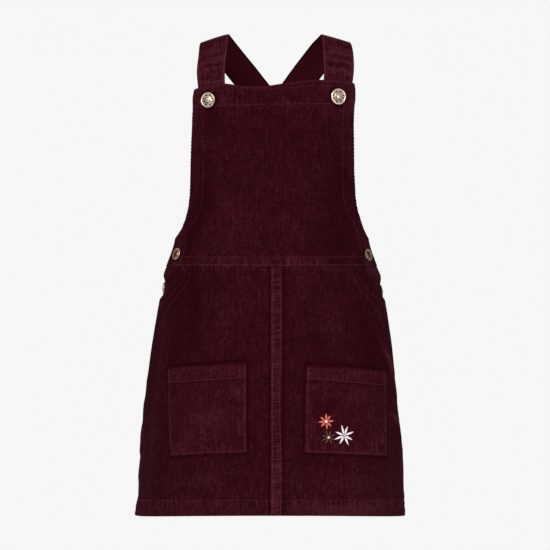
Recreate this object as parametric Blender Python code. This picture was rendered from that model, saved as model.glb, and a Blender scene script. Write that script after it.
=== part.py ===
"""Sleeveless corduroy pinafore dress for a small child, in the hollow form it has when worn.

Blender script, metres, +Z up, the front faces -Y. The origin lies between the shoulder straps,
at the height of their undersides. Every panel is a patch of one worn form, given by BODY and
FOLDS, with its own wall. Lengths in the tables are millimetres, angles are degrees round the
form: 0 is the centre front, 90 the +X side and 180 the centre back.
"""

import math

import bmesh
import bpy
import numpy as np
from mathutils import Matrix, Vector

MM = 0.001
WALL = 1.3
GAP = 0.3
LAYER = WALL + GAP

BIB_BOTTOM = -237.8
SKIRT_TUCKED = BIB_BOTTOM - 0.7
SKIRT_CLEAR = BIB_BOTTOM - 6.6
SKIRT_TOP = -229.0
UNDERARM = -209.0
OPENING_END = -275.0
HEM = -496.2
HEM_DEPTH = 16.5
HEM_FOLD = 0.9
HEM_DROP = 2.4
TURNED_BAND = 0.4
SIDE_SEAM = 99.0
LAP_EDGE = -2.1
LAP_FULL = 9.8
LAP_END = 14.5
UNDERLAP_EDGE = 8.6
BACK_BIB_TOP = -118.0
BIB_COLUMNS = 28
BACK_COLUMNS = 30

# Sections of the worn form: the front, side and back columns are the depths (along Y) of the
# centre front, of the widest points and of the centre back.
BODY_COLUMNS = ("height", "centre", "half_width", "front", "side", "back", "squareness")
BODY = (
    (-30, 1.8, 96.0, -60, -20, 40, 2.00),
    (-50, 1.7, 96.5, -65, -20, 50, 2.00),
    (-90, 0.6, 97.0, -68, -18, 59, 2.00),
    (-130, 0.0, 97.5, -70, -16, 63, 2.00),
    (-170, -0.3, 98.5, -71, -13, 65, 2.05),
    (-208, -1.2, 101.5, -72, -10, 66, 2.10),
    (-238, -1.4, 111.0, -73, -8, 67, 2.15),
    (-247, -1.2, 114.2, -74, -8, 69, 2.15),
    (-260, -1.0, 115.8, -76, -7, 72, 2.20),
    (-272, -0.8, 118.2, -77, -6, 75, 2.20),
    (-327, -1.2, 126.8, -83, -3, 84, 2.20),
    (-386, -2.1, 133.2, -88, 0, 90, 2.20),
    (-445, -1.6, 137.9, -91, 0, 94, 2.20),
    (-475, -1.8, 139.0, -92, 0, 95, 2.20),
    (-500, -2.3, 141.6, -93, 0, 96, 2.20),
)

# Soft troughs (rise < 0) and ridges (rise > 0), each running from its top to its bottom.
FOLD_COLUMNS = ("top_angle", "top", "bottom_angle", "bottom", "width", "rise")
FOLDS = (
    (40, -150, 33, -236, 7.0, -1.8),
    (-50, -165, -44, -236, 6.0, -1.5),
    (-12, -170, -20, -236, 9.0, 1.0),
    (20, -160, 14, -230, 8.0, 0.8),
    (-41, -250, -41, -335, 5.0, -2.2),
    (-25, -262, -22, -350, 7.0, 1.2),
    (-57, -278, -64, -420, 5.0, 1.5),
    (-70, -300, -74, -490, 7.0, -1.6),
    (52, -275, 60, -350, 6.0, -2.4),
    (28, -265, 33, -345, 6.0, -1.0),
    (71, -290, 80, -440, 6.0, 1.6),
    (8, -420, 12, -505, 5.0, -2.0),
    (-6, -380, -8, -505, 7.0, 1.2),
    (132, -262, 128, -505, 8.0, -3.6),
    (160, -262, 158, -505, 9.0, 2.2),
    (184, -285, 186, -505, 8.0, -3.0),
    (212, -262, 216, -505, 9.0, 2.4),
    (238, -270, 243, -505, 8.0, -3.4),
    (112, -300, 110, -505, 8.0, 2.0),
    (262, -300, 264, -505, 8.0, 1.6),
    (150, -150, 156, -236, 8.0, -1.6),
    (208, -160, 203, -236, 9.0, -1.4),
    (-90, -247, -90, -271, 12.0, -2.0),
    (92, -249, 92, -272, 12.0, -2.0),
)

# Outline of the bodice front: the angle of its left and right edges at each height.
BIB_EDGE_COLUMNS = ("height", "left", "right")
BIB_EDGES = (
    (-41.5, -52.0, 58.5),
    (-48.5, -55.5, 60.5),
    (-53.5, -60.8, 61.2),
    (-61.5, -62.2, 61.4),
    (-77, -61.8, 60.2),
    (-125, -62.4, 60.9),
    (-163, -62.4, 62.0),
    (-176, -63.6, 63.8),
    (-188, -66.4, 68.5),
    (-197, -70.6, 73.2),
    (-203, -76.8, 78.2),
    (-207, -86.0, 86.5),
    (-209, -98.9, 98.9),
)
BIB_TOP_COLUMNS = ("angle", "height")
BIB_TOP = (
    (-60.6, -52.6),
    (-57.0, -51.2),
    (-45.0, -48.9),
    (-32.7, -46.6),
    (-18.8, -49.4),
    (-8.0, -49.4),
    (6.5, -46.3),
    (29.6, -42.6),
    (45.0, -43.5),
    (57.4, -45.3),
    (61.3, -47.2),
)
BIB_ROWS = (-47, -52.5, -59.5, -67, -79, -94, -112, -130, -148, -163, -176, -186, -194, -200,
            -204.5, -207.3, UNDERARM, -214, -222, -229, -235, BIB_BOTTOM)

# The side edge of the front skirt panels is the curved mouth of the slash pocket above the
# end of the side opening.
MOUTH_COLUMNS = ("height", "angle")
MOUTH = (
    (-226, 53.0),
    (-235, 56.5),
    (-243, 60.0),
    (-251.5, 64.2),
    (-258.5, 69.4),
    (-264.6, 77.0),
    (-269, 86.0),
    (-273.5, 98.9),
)
SKIRT_ROWS = (SKIRT_TOP, -235, SKIRT_TUCKED, SKIRT_CLEAR, -252, -258.5, -264.6, -268.6, -271.3, -273.5, -282,
              -296, -312, -330, -350, -373, -398, -424, -452, -481.8, -484.4, HEM)

# Side pieces behind the pocket mouths: where they end under the front panels.
HIP_INNER_COLUMNS = ("height", "angle")
HIP_INNER = (
    (-226, 43.0),
    (-243, 49.0),
    (-258, 56.0),
    (-272, 65.0),
    (-286, 75.0),
    (-297, 83.0),
)
HIP_ROWS = SKIRT_ROWS[:12]

BACK_EDGE_COLUMNS = ("height", "angle")
BACK_EDGES = (
    (BACK_BIB_TOP + 2, 143.0),
    (-124, 140.2),
    (-140, 138.6),
    (-160, 134.5),
    (-176, 127.5),
    (-188, 120.0),
    (-197, 112.5),
    (-203, 106.5),
    (-207, 101.8),
    (-209, 99.1),
)
BACK_BIB_ROWS = (BACK_BIB_TOP, -124, -133, -146, -160, -172, -183, -192, -199, -204.5, -207.3,
                 UNDERARM, -218, -229, BIB_BOTTOM)
SKIRT_BACK_ROWS = (SKIRT_TOP, -235, SKIRT_TUCKED, SKIRT_CLEAR, -260, OPENING_END, -293, -315, -340, -368,
                   -398, -424, -452, -481.8, -484.4, HEM)

# Patch pockets: angle and height of the four corners of each.
POCKET_COLUMNS = ("top_outer", "top_outer_height", "top_inner", "top_inner_height",
                  "bottom_inner", "bottom_inner_height", "bottom_outer", "bottom_outer_height")
POCKETS = {
    "patch_pocket_left": (-54.6, -342.6, -10.0, -336.6, -9.0, -430.4, -48.0, -434.4),
    "patch_pocket_right": (65.2, -346.1, 14.5, -339.0, 12.9, -430.6, 59.4, -435.4),
}
POCKET_SEGMENTS = 12
POCKET_TURN = 15.0
POCKET_BAG = 2.4

# Shoulder straps: both edges from the end behind the bodice front over the shoulder to the end
# inside the back bodice. A row with no depth lies on the worn form, "form_side" says where.
STRAP_COLUMNS = ("form_side", "inner_x", "inner_y", "inner_z", "outer_x", "outer_y", "outer_z",
                 "lift")
STRAP_LEFT = (
    ("front", -50.2, None, -97.0, -79.4, None, -98.0, -0.2),
    ("front", -50.1, None, -84.0, -79.5, None, -85.0, -0.2),
    ("front", -50.0, None, -72.0, -79.6, None, -73.0, -0.2),
    ("front", -49.8, None, -61.0, -80.0, None, -62.0, -0.4),
    ("front", -49.6, None, -50.0, -80.2, None, -52.0, -1.2),
    ("free", -48.8, -46.5, -31.0, -79.6, -36.5, -34.0, 0.0),
    ("free", -47.6, -32.5, -11.5, -78.0, -24.5, -17.0, 0.0),
    ("free", -46.8, -20.0, 2.2, -77.0, -13.5, -6.2, 0.0),
    ("free", -46.2, -9.0, 6.2, -75.6, -2.0, -2.8, 0.0),
    ("free", -43.6, 3.5, 3.4, -71.6, 9.5, -6.2, 0.0),
    ("free", -38.4, 15.0, -3.0, -64.4, 20.0, -15.6, 0.0),
    ("free", -29.0, 28.5, -14.4, -52.6, 30.0, -31.0, 0.0),
    ("free", -17.5, 39.5, -28.2, -40.4, 39.0, -46.2, 0.0),
    ("back", -6.2, None, -41.6, -29.0, None, -60.4, 0.0),
    ("back", 4.6, None, -54.8, -17.8, None, -73.6, 0.0),
    ("back", 15.0, None, -67.4, -7.2, None, -86.4, 0.0),
    ("back", 24.8, None, -80.0, 2.4, None, -98.0, 0.0),
    ("back", 34.0, None, -93.0, 9.6, None, -108.0, 0.0),
    ("back", 43.0, None, -106.5, 14.4, None, -116.0, 0.0),
    ("back", 51.0, None, -119.0, 19.0, None, -124.0, 0.0),
    ("back", 57.0, None, -131.0, 23.6, None, -132.0, 0.0),
)
STRAP_RIGHT = (
    ("front", 54.2, None, -94.0, 83.2, None, -95.0, -0.2),
    ("front", 54.2, None, -81.0, 83.3, None, -82.0, -0.2),
    ("front", 54.2, None, -69.0, 83.4, None, -70.0, -0.2),
    ("front", 54.2, None, -58.0, 83.6, None, -59.0, -0.4),
    ("front", 54.0, None, -48.0, 83.7, None, -49.0, -1.2),
    ("free", 53.2, -45.5, -29.5, 83.4, -35.0, -32.0, 0.0),
    ("free", 51.6, -32.0, -10.5, 82.8, -23.5, -15.8, 0.0),
    ("free", 50.0, -20.0, 2.2, 81.4, -13.0, -5.6, 0.0),
    ("free", 49.2, -9.0, 6.0, 79.8, -2.0, -2.6, 0.0),
    ("free", 46.2, 3.5, 3.2, 75.6, 9.5, -6.2, 0.0),
    ("free", 40.8, 15.0, -3.2, 68.0, 20.0, -15.6, 0.2),
    ("free", 31.6, 29.0, -14.8, 56.2, 30.0, -31.0, 0.5),
    ("free", 21.0, 40.0, -28.6, 44.6, 39.0, -46.4, 0.9),
    ("back", 10.6, None, -42.0, 33.6, None, -60.8, 1.4),
    ("back", 0.4, None, -55.2, 22.8, None, -74.4, LAYER),
    ("back", -9.8, None, -68.4, 12.4, None, -87.4, LAYER),
    ("back", -19.4, None, -81.4, 3.0, None, -99.4, LAYER),
    ("back", -28.8, None, -94.4, -4.4, None, -109.0, 1.2),
    ("back", -38.2, None, -107.4, -10.4, None, -116.4, 0.4),
    ("back", -47.4, None, -119.4, -16.0, None, -124.2, 0.0),
    ("back", -55.0, None, -131.0, -21.6, None, -132.0, 0.0),
)
STRAP_ACROSS = 4
STRAP_LENGTHS = 36
STRAP_CROWN = 0.5

# Tack buttons: angle and height on the worn form, how far out the cloth under them lies, and how
# many degrees they lean to follow that cloth's slope.
BUTTON_COLUMNS = ("angle", "height", "cloth", "diameter", "lean")
BUTTONS = {
    "strap_button_left": (-44.5, -63.9, WALL + TURNED_BAND, 17.0, 0.0),
    "strap_button_right": (42.7, -60.2, WALL + TURNED_BAND, 17.0, 0.0),
    "side_button_left_upper": (-66.6, -224.7, WALL, 13.0, 0.0),
    "side_button_left_lower": (-90.0, -259.8, -0.2, 13.0, 4.6),
    "side_button_right_upper": (68.2, -225.7, WALL, 13.0, 0.0),
    "side_button_right_lower": (93.2, -262.6, -0.3, 13.0, 4.6),
}
# Profile of a tack button as shares of its radius: a flat foot, a rolled rim, a sunken ring
# and a low dome.
BUTTON_PROFILE = (
    (0.0, 0.02),
    (0.72, 0.02),
    (0.96, 0.13),
    (1.0, 0.30),
    (0.90, 0.44),
    (0.78, 0.45),
    (0.64, 0.36),
    (0.40, 0.41),
    (0.0, 0.53),
)
BUTTON_SIDES = 16


def clear_scene():
    for thing in list(bpy.data.objects):
        bpy.data.objects.remove(thing, do_unlink=True)


def soft_step(value, start, end):
    """0 before start, 1 past end, smooth between. start may be the larger of the two."""
    share = np.clip((np.asarray(value, float) - start) / (end - start), 0, 1)
    return share * share * (3 - 2 * share)


def blend(low, high, share):
    return low + (high - low) * share


def table_curve(rows, columns, name, key, where):
    """Monotone cubic curve through one column of a table, taken against its key column."""
    knots = np.array([row[columns.index(key)] for row in rows], float)
    values = np.array([row[columns.index(name)] for row in rows], float)
    if knots[0] > knots[-1]:
        knots = knots[::-1]
        values = values[::-1]
    width = np.diff(knots)
    slope = np.diff(values) / width
    tangent = np.zeros(len(knots))
    tangent[0] = slope[0]
    tangent[-1] = slope[-1]
    for i in range(1, len(knots) - 1):
        if slope[i - 1] * slope[i] > 0:
            before = 2 * width[i] + width[i - 1]
            after = width[i] + 2 * width[i - 1]
            tangent[i] = (before + after) / (before / slope[i - 1] + after / slope[i])
    where = np.clip(where, knots[0], knots[-1])
    i = np.clip(np.searchsorted(knots, where) - 1, 0, len(knots) - 2)
    t = (where - knots[i]) / width[i]
    low = (1 + 2 * t) * (1 - t) ** 2 * values[i] + t * (1 - t) ** 2 * width[i] * tangent[i]
    high = t * t * (3 - 2 * t) * values[i + 1] + t * t * (t - 1) * width[i] * tangent[i + 1]
    return low + high


def body_column(name, height):
    return table_curve(BODY, BODY_COLUMNS, name, "height", height)


def smooth_form(angle, height):
    """Points of the worn form without its folds, as an array with a last axis of 3."""
    turn = np.radians(angle)
    power = 2 / body_column("squareness", height)
    across = np.sign(np.sin(turn)) * np.abs(np.sin(turn)) ** power
    along = np.sign(np.cos(turn)) * np.abs(np.cos(turn)) ** power
    side = body_column("side", height)
    to_front = side - body_column("front", height)
    to_back = body_column("back", height) - side
    x = body_column("centre", height) + body_column("half_width", height) * across
    y = side - np.where(along > 0, to_front, to_back) * along
    return np.stack(np.broadcast_arrays(x, y, np.asarray(height, float)), axis=-1)


def fold_relief(angle, height):
    """How far the folds move the form outwards."""
    total = np.zeros(np.broadcast(angle, height).shape)
    for row in FOLDS:
        fold = dict(zip(FOLD_COLUMNS, row))
        share = (height - fold["top"]) / (fold["bottom"] - fold["top"])
        middle = blend(fold["top_angle"], fold["bottom_angle"], np.clip(share, 0, 1))
        off = (np.asarray(angle) - middle + 180) % 360 - 180
        across = np.exp(-((off / fold["width"]) ** 2))
        ends = soft_step(share, -0.05, 0.3) * soft_step(share, 1.08, 0.75)
        if fold["bottom"] < HEM:
            ends = soft_step(share, 0.0, 0.55)
        total = total + fold["rise"] * across * ends
    return total


def form_normal(angle, height, shape):
    """Unit normals of shape(angle, height), pointing out of the garment."""
    round_step = shape(angle + 0.4, height) - shape(angle - 0.4, height)
    up_step = shape(angle, height + 0.6) - shape(angle, height - 0.6)
    normal = np.cross(round_step, up_step)
    return normal / np.linalg.norm(normal, axis=-1, keepdims=True)


def folded_form(angle, height):
    base = smooth_form(angle, height)
    relief = fold_relief(angle, height)
    return base + form_normal(angle, height, smooth_form) * relief[..., None]


def on_form(angle, height, out):
    """Points out above the inner face of a panel whose outer face is the folded form."""
    angle, height, out = np.broadcast_arrays(
        np.asarray(angle, float), np.asarray(height, float), np.asarray(out, float) - WALL
    )
    return folded_form(angle, height) + form_normal(angle, height, folded_form) * out[..., None]


def angle_of(x, height, back=False):
    """Angle at which the smooth form passes a given x, on its front or its back."""
    share = (x - body_column("centre", height)) / body_column("half_width", height)
    sine = np.clip(np.abs(share), 0, 1) ** (body_column("squareness", height) / 2)
    turn = np.degrees(np.arcsin(sine)) * np.sign(share)
    return 180 - turn if back else turn


def cloth_solid(name, inner, outer, material):
    """Closed solid between two grids of points, joined round their edges."""
    rows, columns = inner.shape[:2]
    mesh = bmesh.new()
    skins = []
    for skin in (outer, inner):
        skins.append([[mesh.verts.new(Vector(point) * MM) for point in row] for row in skin])
    for r in range(rows - 1):
        for c in range(columns - 1):
            corners = ((r, c), (r, c + 1), (r + 1, c + 1), (r + 1, c))
            mesh.faces.new([skins[0][i][j] for i, j in corners])
            mesh.faces.new([skins[1][i][j] for i, j in reversed(corners)])
    rim = [(0, c) for c in range(columns)]
    rim += [(r, columns - 1) for r in range(1, rows)]
    rim += [(rows - 1, c) for c in range(columns - 2, -1, -1)]
    rim += [(r, 0) for r in range(rows - 2, 0, -1)]
    for (i, j), (k, m) in zip(rim, rim[1:] + rim[:1]):
        mesh.faces.new((skins[0][i][j], skins[1][i][j], skins[1][k][m], skins[0][k][m]))
    bmesh.ops.recalc_face_normals(mesh, faces=mesh.faces)
    return add_object(name, mesh, material)


def add_object(name, mesh, material):
    data = bpy.data.meshes.new(name)
    mesh.to_mesh(data)
    mesh.free()
    data.materials.append(material)
    thing = bpy.data.objects.new(name, data)
    bpy.context.scene.collection.objects.link(thing)
    return thing


def form_panel(name, angle, height, inner_out, outer_out, material):
    """Cloth panel over a grid of angles and heights, between two distances from the form."""
    inner = on_form(angle, height, inner_out)
    outer = on_form(angle, height, outer_out)
    return cloth_solid(name, inner, outer, material)


def spread(low, high, count):
    """Grid of values from low to high along a new last axis."""
    share = np.linspace(0, 1, count + 1)
    low = np.asarray(low, float)[..., None]
    high = np.asarray(high, float)[..., None]
    return low + (high - low) * share


def waist_band(height):
    """1 where the skirt runs under the bodice, 0 below it."""
    return soft_step(height, SKIRT_CLEAR, SKIRT_TUCKED)


def make_bib(material):
    height = np.array(BIB_ROWS)[:, None]
    left = table_curve(BIB_EDGES, BIB_EDGE_COLUMNS, "left", "height", height)
    right = table_curve(BIB_EDGES, BIB_EDGE_COLUMNS, "right", "height", height)
    angle = spread(left[:, 0], right[:, 0], BIB_COLUMNS)
    top = table_curve(BIB_TOP, BIB_TOP_COLUMNS, "height", "angle", angle)
    share = np.clip((height - BIB_ROWS[9]) / (BIB_ROWS[0] - BIB_ROWS[9]), 0, 1)
    height = height + (top - BIB_ROWS[0]) * share ** 1.5
    turned_band = soft_step(height, -68.0, -64.0)
    return form_panel("bib_front", angle, height, 0.0, WALL + TURNED_BAND * turned_band, material)


def hem_height(angle, height):
    """Lowers the hem a little towards the sides."""
    sides = np.sin(np.radians(angle)) ** 2
    return height - HEM_DROP * sides * soft_step(height, -440.0, HEM)


def make_front_skirt(material_left, material_right):
    """Two front panels: the right one laps over the left one at the centre seam."""
    rows = np.array(SKIRT_ROWS)
    edge = table_curve(MOUTH, MOUTH_COLUMNS, "angle", "height", rows)
    band = waist_band(rows)[:, None]
    hem_turn = soft_step(rows, HEM + HEM_DEPTH + 1.2, HEM + HEM_DEPTH - 1.0)[:, None]
    height = rows[:, None]

    lap_x = np.array((LAP_EDGE, 3.6, LAP_FULL, LAP_END))
    near = angle_of(lap_x[None, :], height)
    far = spread(near[:, -1], edge, 18)[:, 1:]
    angle = np.concatenate([near, far], axis=1)
    x = np.concatenate([np.broadcast_to(lap_x, near.shape), np.full(far.shape, 99.0)], axis=1)
    lap = soft_step(x, LAP_END - 0.1, LAP_FULL + 0.1)
    out = -LAYER * band + LAYER * lap * (1 - band)
    inner = out - HEM_FOLD * hem_turn * (1 - lap)
    form_panel("skirt_front_right", angle, hem_height(angle, height), inner, out + WALL, material_right)

    under_x = np.array((UNDERLAP_EDGE, 2.6, -4.2, -9.0))
    near = angle_of(under_x[None, :], height)
    far = spread(near[:, -1], -edge, 18)[:, 1:]
    angle = np.concatenate([near, far], axis=1)[:, ::-1]
    x = np.concatenate([np.broadcast_to(under_x, near.shape), np.full(far.shape, -99.0)], axis=1)
    under = soft_step(x, -8.9, -4.3)[:, ::-1]
    out = -LAYER * band * (1 + under)
    inner = out - HEM_FOLD * hem_turn
    form_panel("skirt_front_left", angle, hem_height(angle, height), inner, out + WALL, material_left)


def make_hip_side(name, sign, material):
    rows = np.array(HIP_ROWS)
    inner_edge = table_curve(HIP_INNER, HIP_INNER_COLUMNS, "angle", "height", rows)
    mouth = table_curve(MOUTH, MOUTH_COLUMNS, "angle", "height", rows)[:, None]
    outer_edge = np.where(rows > OPENING_END + 2, SIDE_SEAM - 0.1, SIDE_SEAM - 3.0)
    angle = spread(inner_edge, outer_edge, 10)
    height = rows[:, None]
    under_panel = soft_step(angle, mouth + 11.0, mouth + 5.0)
    shown = (1 - under_panel) * soft_step(height, -272.0, -242.0)
    shown = shown * soft_step(height, SKIRT_TUCKED, BIB_BOTTOM - 4.0)
    out = -LAYER * (1 + waist_band(height) * under_panel) - 0.5 + 1.7 * shown
    angle = angle * sign
    if sign < 0:
        angle = angle[:, ::-1]
        out = out[:, ::-1]
    form_panel(name, angle, height, out, out + WALL, material)


def make_placket(name, sign, material):
    height = np.array((UNDERARM - 1.5, -220, -232, -244, -256, -268, -282))[:, None]
    angle = spread(np.full(len(height), 84.0), np.full(len(height), 112.0), 6) * sign
    if sign < 0:
        angle = angle[:, ::-1]
    out = np.full_like(angle, -2 * LAYER - 0.9)
    form_panel(name, angle, height, out, out + WALL, material)


def make_back(material_bib, material_skirt):
    rows = np.array(BACK_BIB_ROWS)
    edge = table_curve(BACK_EDGES, BACK_EDGE_COLUMNS, "angle", "height", rows)
    angle = spread(edge, 360 - edge, BACK_COLUMNS)
    height = rows[:, None] - 3.0 * np.cos(np.radians(angle - 180) * 2.4) ** 2 * np.clip(
        (rows[:, None] + 160) / 42, 0, 1
    )
    turned_band = soft_step(height, -136.0, -132.0)
    form_panel("back_bib", angle, height, 0.0, WALL + TURNED_BAND * turned_band, material_bib)

    rows = np.array(SKIRT_BACK_ROWS)
    edge = np.full(len(rows), SIDE_SEAM + 0.1)
    angle = spread(edge, 360 - edge, BACK_COLUMNS)
    height = rows[:, None]
    hem_turn = soft_step(height, HEM + HEM_DEPTH + 1.2, HEM + HEM_DEPTH - 1.0)
    out = -LAYER * waist_band(height)
    inner = out - HEM_FOLD * hem_turn
    form_panel("skirt_back", angle, hem_height(angle, height), inner, out + WALL, material_skirt)


def make_pocket(name, material):
    """Patch pocket on a front panel: its turned mouth stands a little off the skirt."""
    pocket = dict(zip(POCKET_COLUMNS, POCKETS[name]))
    u = np.linspace(0, 1, POCKET_SEGMENTS + 1)[None, :]
    v = np.array((0, 0.045, 0.10, 0.155, 0.24, 0.34, 0.45, 0.56, 0.67, 0.78, 0.89, 1.0))[:, None]
    grids = []
    for ending in ("", "_height"):
        upper = blend(pocket["top_outer" + ending], pocket["top_inner" + ending], u)
        lower = blend(pocket["bottom_outer" + ending], pocket["bottom_inner" + ending], u)
        grids.append(blend(upper, lower, v))
    angle, height = grids
    rounded = np.sin(np.pi * u) ** 0.8
    bag = POCKET_BAG * rounded * np.exp(-v / 0.14) + 1.3 * rounded * np.sin(np.pi * v) ** 0.8
    out = LAYER + bag
    depth = pocket["top_outer_height"] - pocket["bottom_outer_height"]
    turned = soft_step(v, POCKET_TURN / depth + 0.012, POCKET_TURN / depth - 0.012)
    thick = WALL + TURNED_BAND * turned
    if pocket["top_outer"] > pocket["top_inner"]:
        angle = angle[:, ::-1]
        height = height[:, ::-1]
        out = out[:, ::-1]
    form_panel(name, angle, height, out, out + thick, material)


def strap_station(row):
    """Points across a strap, from its inner to its outer edge, on the middle of its cloth."""
    place = dict(zip(STRAP_COLUMNS, row))
    share = np.linspace(0, 1, STRAP_ACROSS + 1)
    x = place["inner_x"] + (place["outer_x"] - place["inner_x"]) * share
    z = place["inner_z"] + (place["outer_z"] - place["inner_z"]) * share
    middle = -LAYER + WALL / 2 - 0.1
    if place["form_side"] == "free":
        y = place["inner_y"] + (place["outer_y"] - place["inner_y"]) * share
        bow = STRAP_CROWN * np.sin(np.pi * share) + place["lift"]
        behind = y > -9.0
        return np.stack([x, y + bow * np.where(behind, 1, -1) * 0.7, z + 0.6 * bow], axis=-1)
    angle = angle_of(x, z, back=place["form_side"] == "back")
    return on_form(angle, z, middle + place["lift"])


def smooth_path(stations, count):
    """Stations spread evenly along a Catmull-Rom curve through the given ones."""
    before_first = 2 * stations[:1] - stations[1:2]
    after_last = 2 * stations[-1:] - stations[-2:-1]
    padded = np.concatenate([before_first, stations, after_last])
    fine = []
    for i in range(1, len(padded) - 2):
        before, here, after, beyond = padded[i - 1:i + 3]
        for t in np.arange(12) / 12:
            fine.append(
                0.5 * (2 * here + (after - before) * t
                       + (2 * before - 5 * here + 4 * after - beyond) * t ** 2
                       + (3 * here - before - 3 * after + beyond) * t ** 3)
            )
    fine.append(padded[-2])
    fine = np.array(fine)
    middle = fine[:, fine.shape[1] // 2]
    run = np.concatenate([[0], np.cumsum(np.linalg.norm(np.diff(middle, axis=0), axis=1))])
    wanted = np.linspace(0, run[-1], count + 1)
    result = np.empty((count + 1,) + fine.shape[1:])
    for c in range(fine.shape[1]):
        for axis in range(3):
            result[:, c, axis] = np.interp(wanted, run, fine[:, c, axis])
    return result


def grid_normals(points):
    along = np.gradient(points, axis=0)
    across = np.gradient(points, axis=1)
    normal = np.cross(along, across)
    return normal / np.linalg.norm(normal, axis=-1, keepdims=True)


def make_strap(name, rows, side, material):
    path = smooth_path(np.array([strap_station(row) for row in rows]), STRAP_LENGTHS)
    outwards = grid_normals(path) * side
    cloth_solid(name, path - outwards * WALL / 2, path + outwards * WALL / 2, material)


def make_button(name, material):
    """Tack button turned from its profile and set 0.3 mm off the cloth that it lies on."""
    button = dict(zip(BUTTON_COLUMNS, BUTTONS[name]))
    radius = button["diameter"] / 2
    mesh = bmesh.new()
    profile = [(share * radius * MM, 0, rise * radius * MM) for share, rise in BUTTON_PROFILE]
    ring = [mesh.verts.new(point) for point in profile]
    edges = [mesh.edges.new(pair) for pair in zip(ring, ring[1:])]
    bmesh.ops.spin(mesh, geom=ring + edges, cent=(0, 0, 0), axis=(0, 0, 1), angle=math.tau,
                   steps=BUTTON_SIDES)
    bmesh.ops.remove_doubles(mesh, verts=mesh.verts, dist=0.00001)
    bmesh.ops.recalc_face_normals(mesh, faces=mesh.faces)
    seat = on_form(button["angle"], button["height"], button["cloth"] + GAP)
    normal = form_normal(np.array(button["angle"]), np.array(button["height"]), folded_form)
    up = np.array([0, 0, 1]) - normal * normal[2]
    lean = math.radians(button["lean"])
    normal = normal * math.cos(lean) - up / np.linalg.norm(up) * math.sin(lean)
    turn = Vector(normal).to_track_quat("Z", "Y").to_matrix().to_4x4()
    bmesh.ops.transform(mesh, matrix=Matrix.Translation(Vector(seat) * MM) @ turn, verts=mesh.verts)
    return add_object(name, mesh, material)


def make_material(name, colour, roughness, metallic=0.0):
    material = bpy.data.materials.new(name)
    material.use_nodes = True
    shader = material.node_tree.nodes["Principled BSDF"]
    shader.inputs["Base Color"].default_value = (*colour, 1.0)
    shader.inputs["Roughness"].default_value = roughness
    shader.inputs["Metallic"].default_value = metallic
    material.diffuse_color = (*colour, 1.0)
    return material


def corduroy(name, shade):
    return make_material(name + "_cloth", tuple(shade * part for part in (0.036, 0.0045, 0.0085)), 0.9)


def main():
    clear_scene()
    make_bib(corduroy("bib_front", 1.0))
    make_front_skirt(corduroy("skirt_front_left", 1.0), corduroy("skirt_front_right", 1.0))
    for side, sign in (("left", -1), ("right", 1)):
        make_hip_side("hip_side_" + side, sign, corduroy("hip_side_" + side, 0.9))
        make_placket("placket_" + side, sign, corduroy("placket_" + side, 0.85))
        pocket = "patch_pocket_" + side
        make_pocket(pocket, corduroy(pocket, 1.15))
    make_back(corduroy("back_bib", 0.95), corduroy("skirt_back", 0.95))
    make_strap("strap_left", STRAP_LEFT, 1, corduroy("strap_left", 1.2))
    make_strap("strap_right", STRAP_RIGHT, -1, corduroy("strap_right", 1.2))
    for name in BUTTONS:
        make_button(name, make_material(name + "_brass", (0.62, 0.44, 0.20), 0.35, 1.0))


main()
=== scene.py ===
"""Looks of a small child's corduroy pinafore dress, cut flat, sewn and bent to its worn form.

Every panel starts as a flat grid whose columns follow the wales. Its edges are trimmed to the cut,
it gets a wall, and then each point is carried to the place on the worn form that the CAD solid
holds, with its wales, seams, puckers and soft creases. Lengths in the tables are millimetres, s is
the distance round the form from the centre front or back, t is the height, and angles are degrees
round the form: 0 is the centre front, 90 the +X side and 180 the centre back.
"""

import logging
import math
from collections.abc import Callable, Sequence
from dataclasses import dataclass, field, replace
from enum import Enum

import bmesh
import bpy
import numpy as np
from mathutils import Matrix, Vector


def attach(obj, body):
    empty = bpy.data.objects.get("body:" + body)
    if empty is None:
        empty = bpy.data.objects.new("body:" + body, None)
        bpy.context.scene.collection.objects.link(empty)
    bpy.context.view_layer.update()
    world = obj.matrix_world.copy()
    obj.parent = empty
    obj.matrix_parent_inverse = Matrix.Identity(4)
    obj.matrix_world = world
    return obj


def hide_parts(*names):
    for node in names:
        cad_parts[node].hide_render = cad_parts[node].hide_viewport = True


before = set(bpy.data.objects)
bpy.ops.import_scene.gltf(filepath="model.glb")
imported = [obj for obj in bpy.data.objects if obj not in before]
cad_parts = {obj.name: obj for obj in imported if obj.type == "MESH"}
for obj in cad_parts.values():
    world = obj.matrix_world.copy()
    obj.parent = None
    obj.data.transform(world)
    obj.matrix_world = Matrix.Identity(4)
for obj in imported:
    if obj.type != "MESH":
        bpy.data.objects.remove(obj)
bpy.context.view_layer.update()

log = logging.getLogger("pinafore")

Array = np.ndarray
Pair = tuple[Array, Array]

MM = 0.001
SENSOR = 36.0

# Thickness and ribs of the cloth.
WALL = 1.3
LAYER = 1.6
PITCH = 2.25
COLUMN = PITCH / 4
WALE_RISE = 0.28
EDGE_ROLL = 0.45

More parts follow.
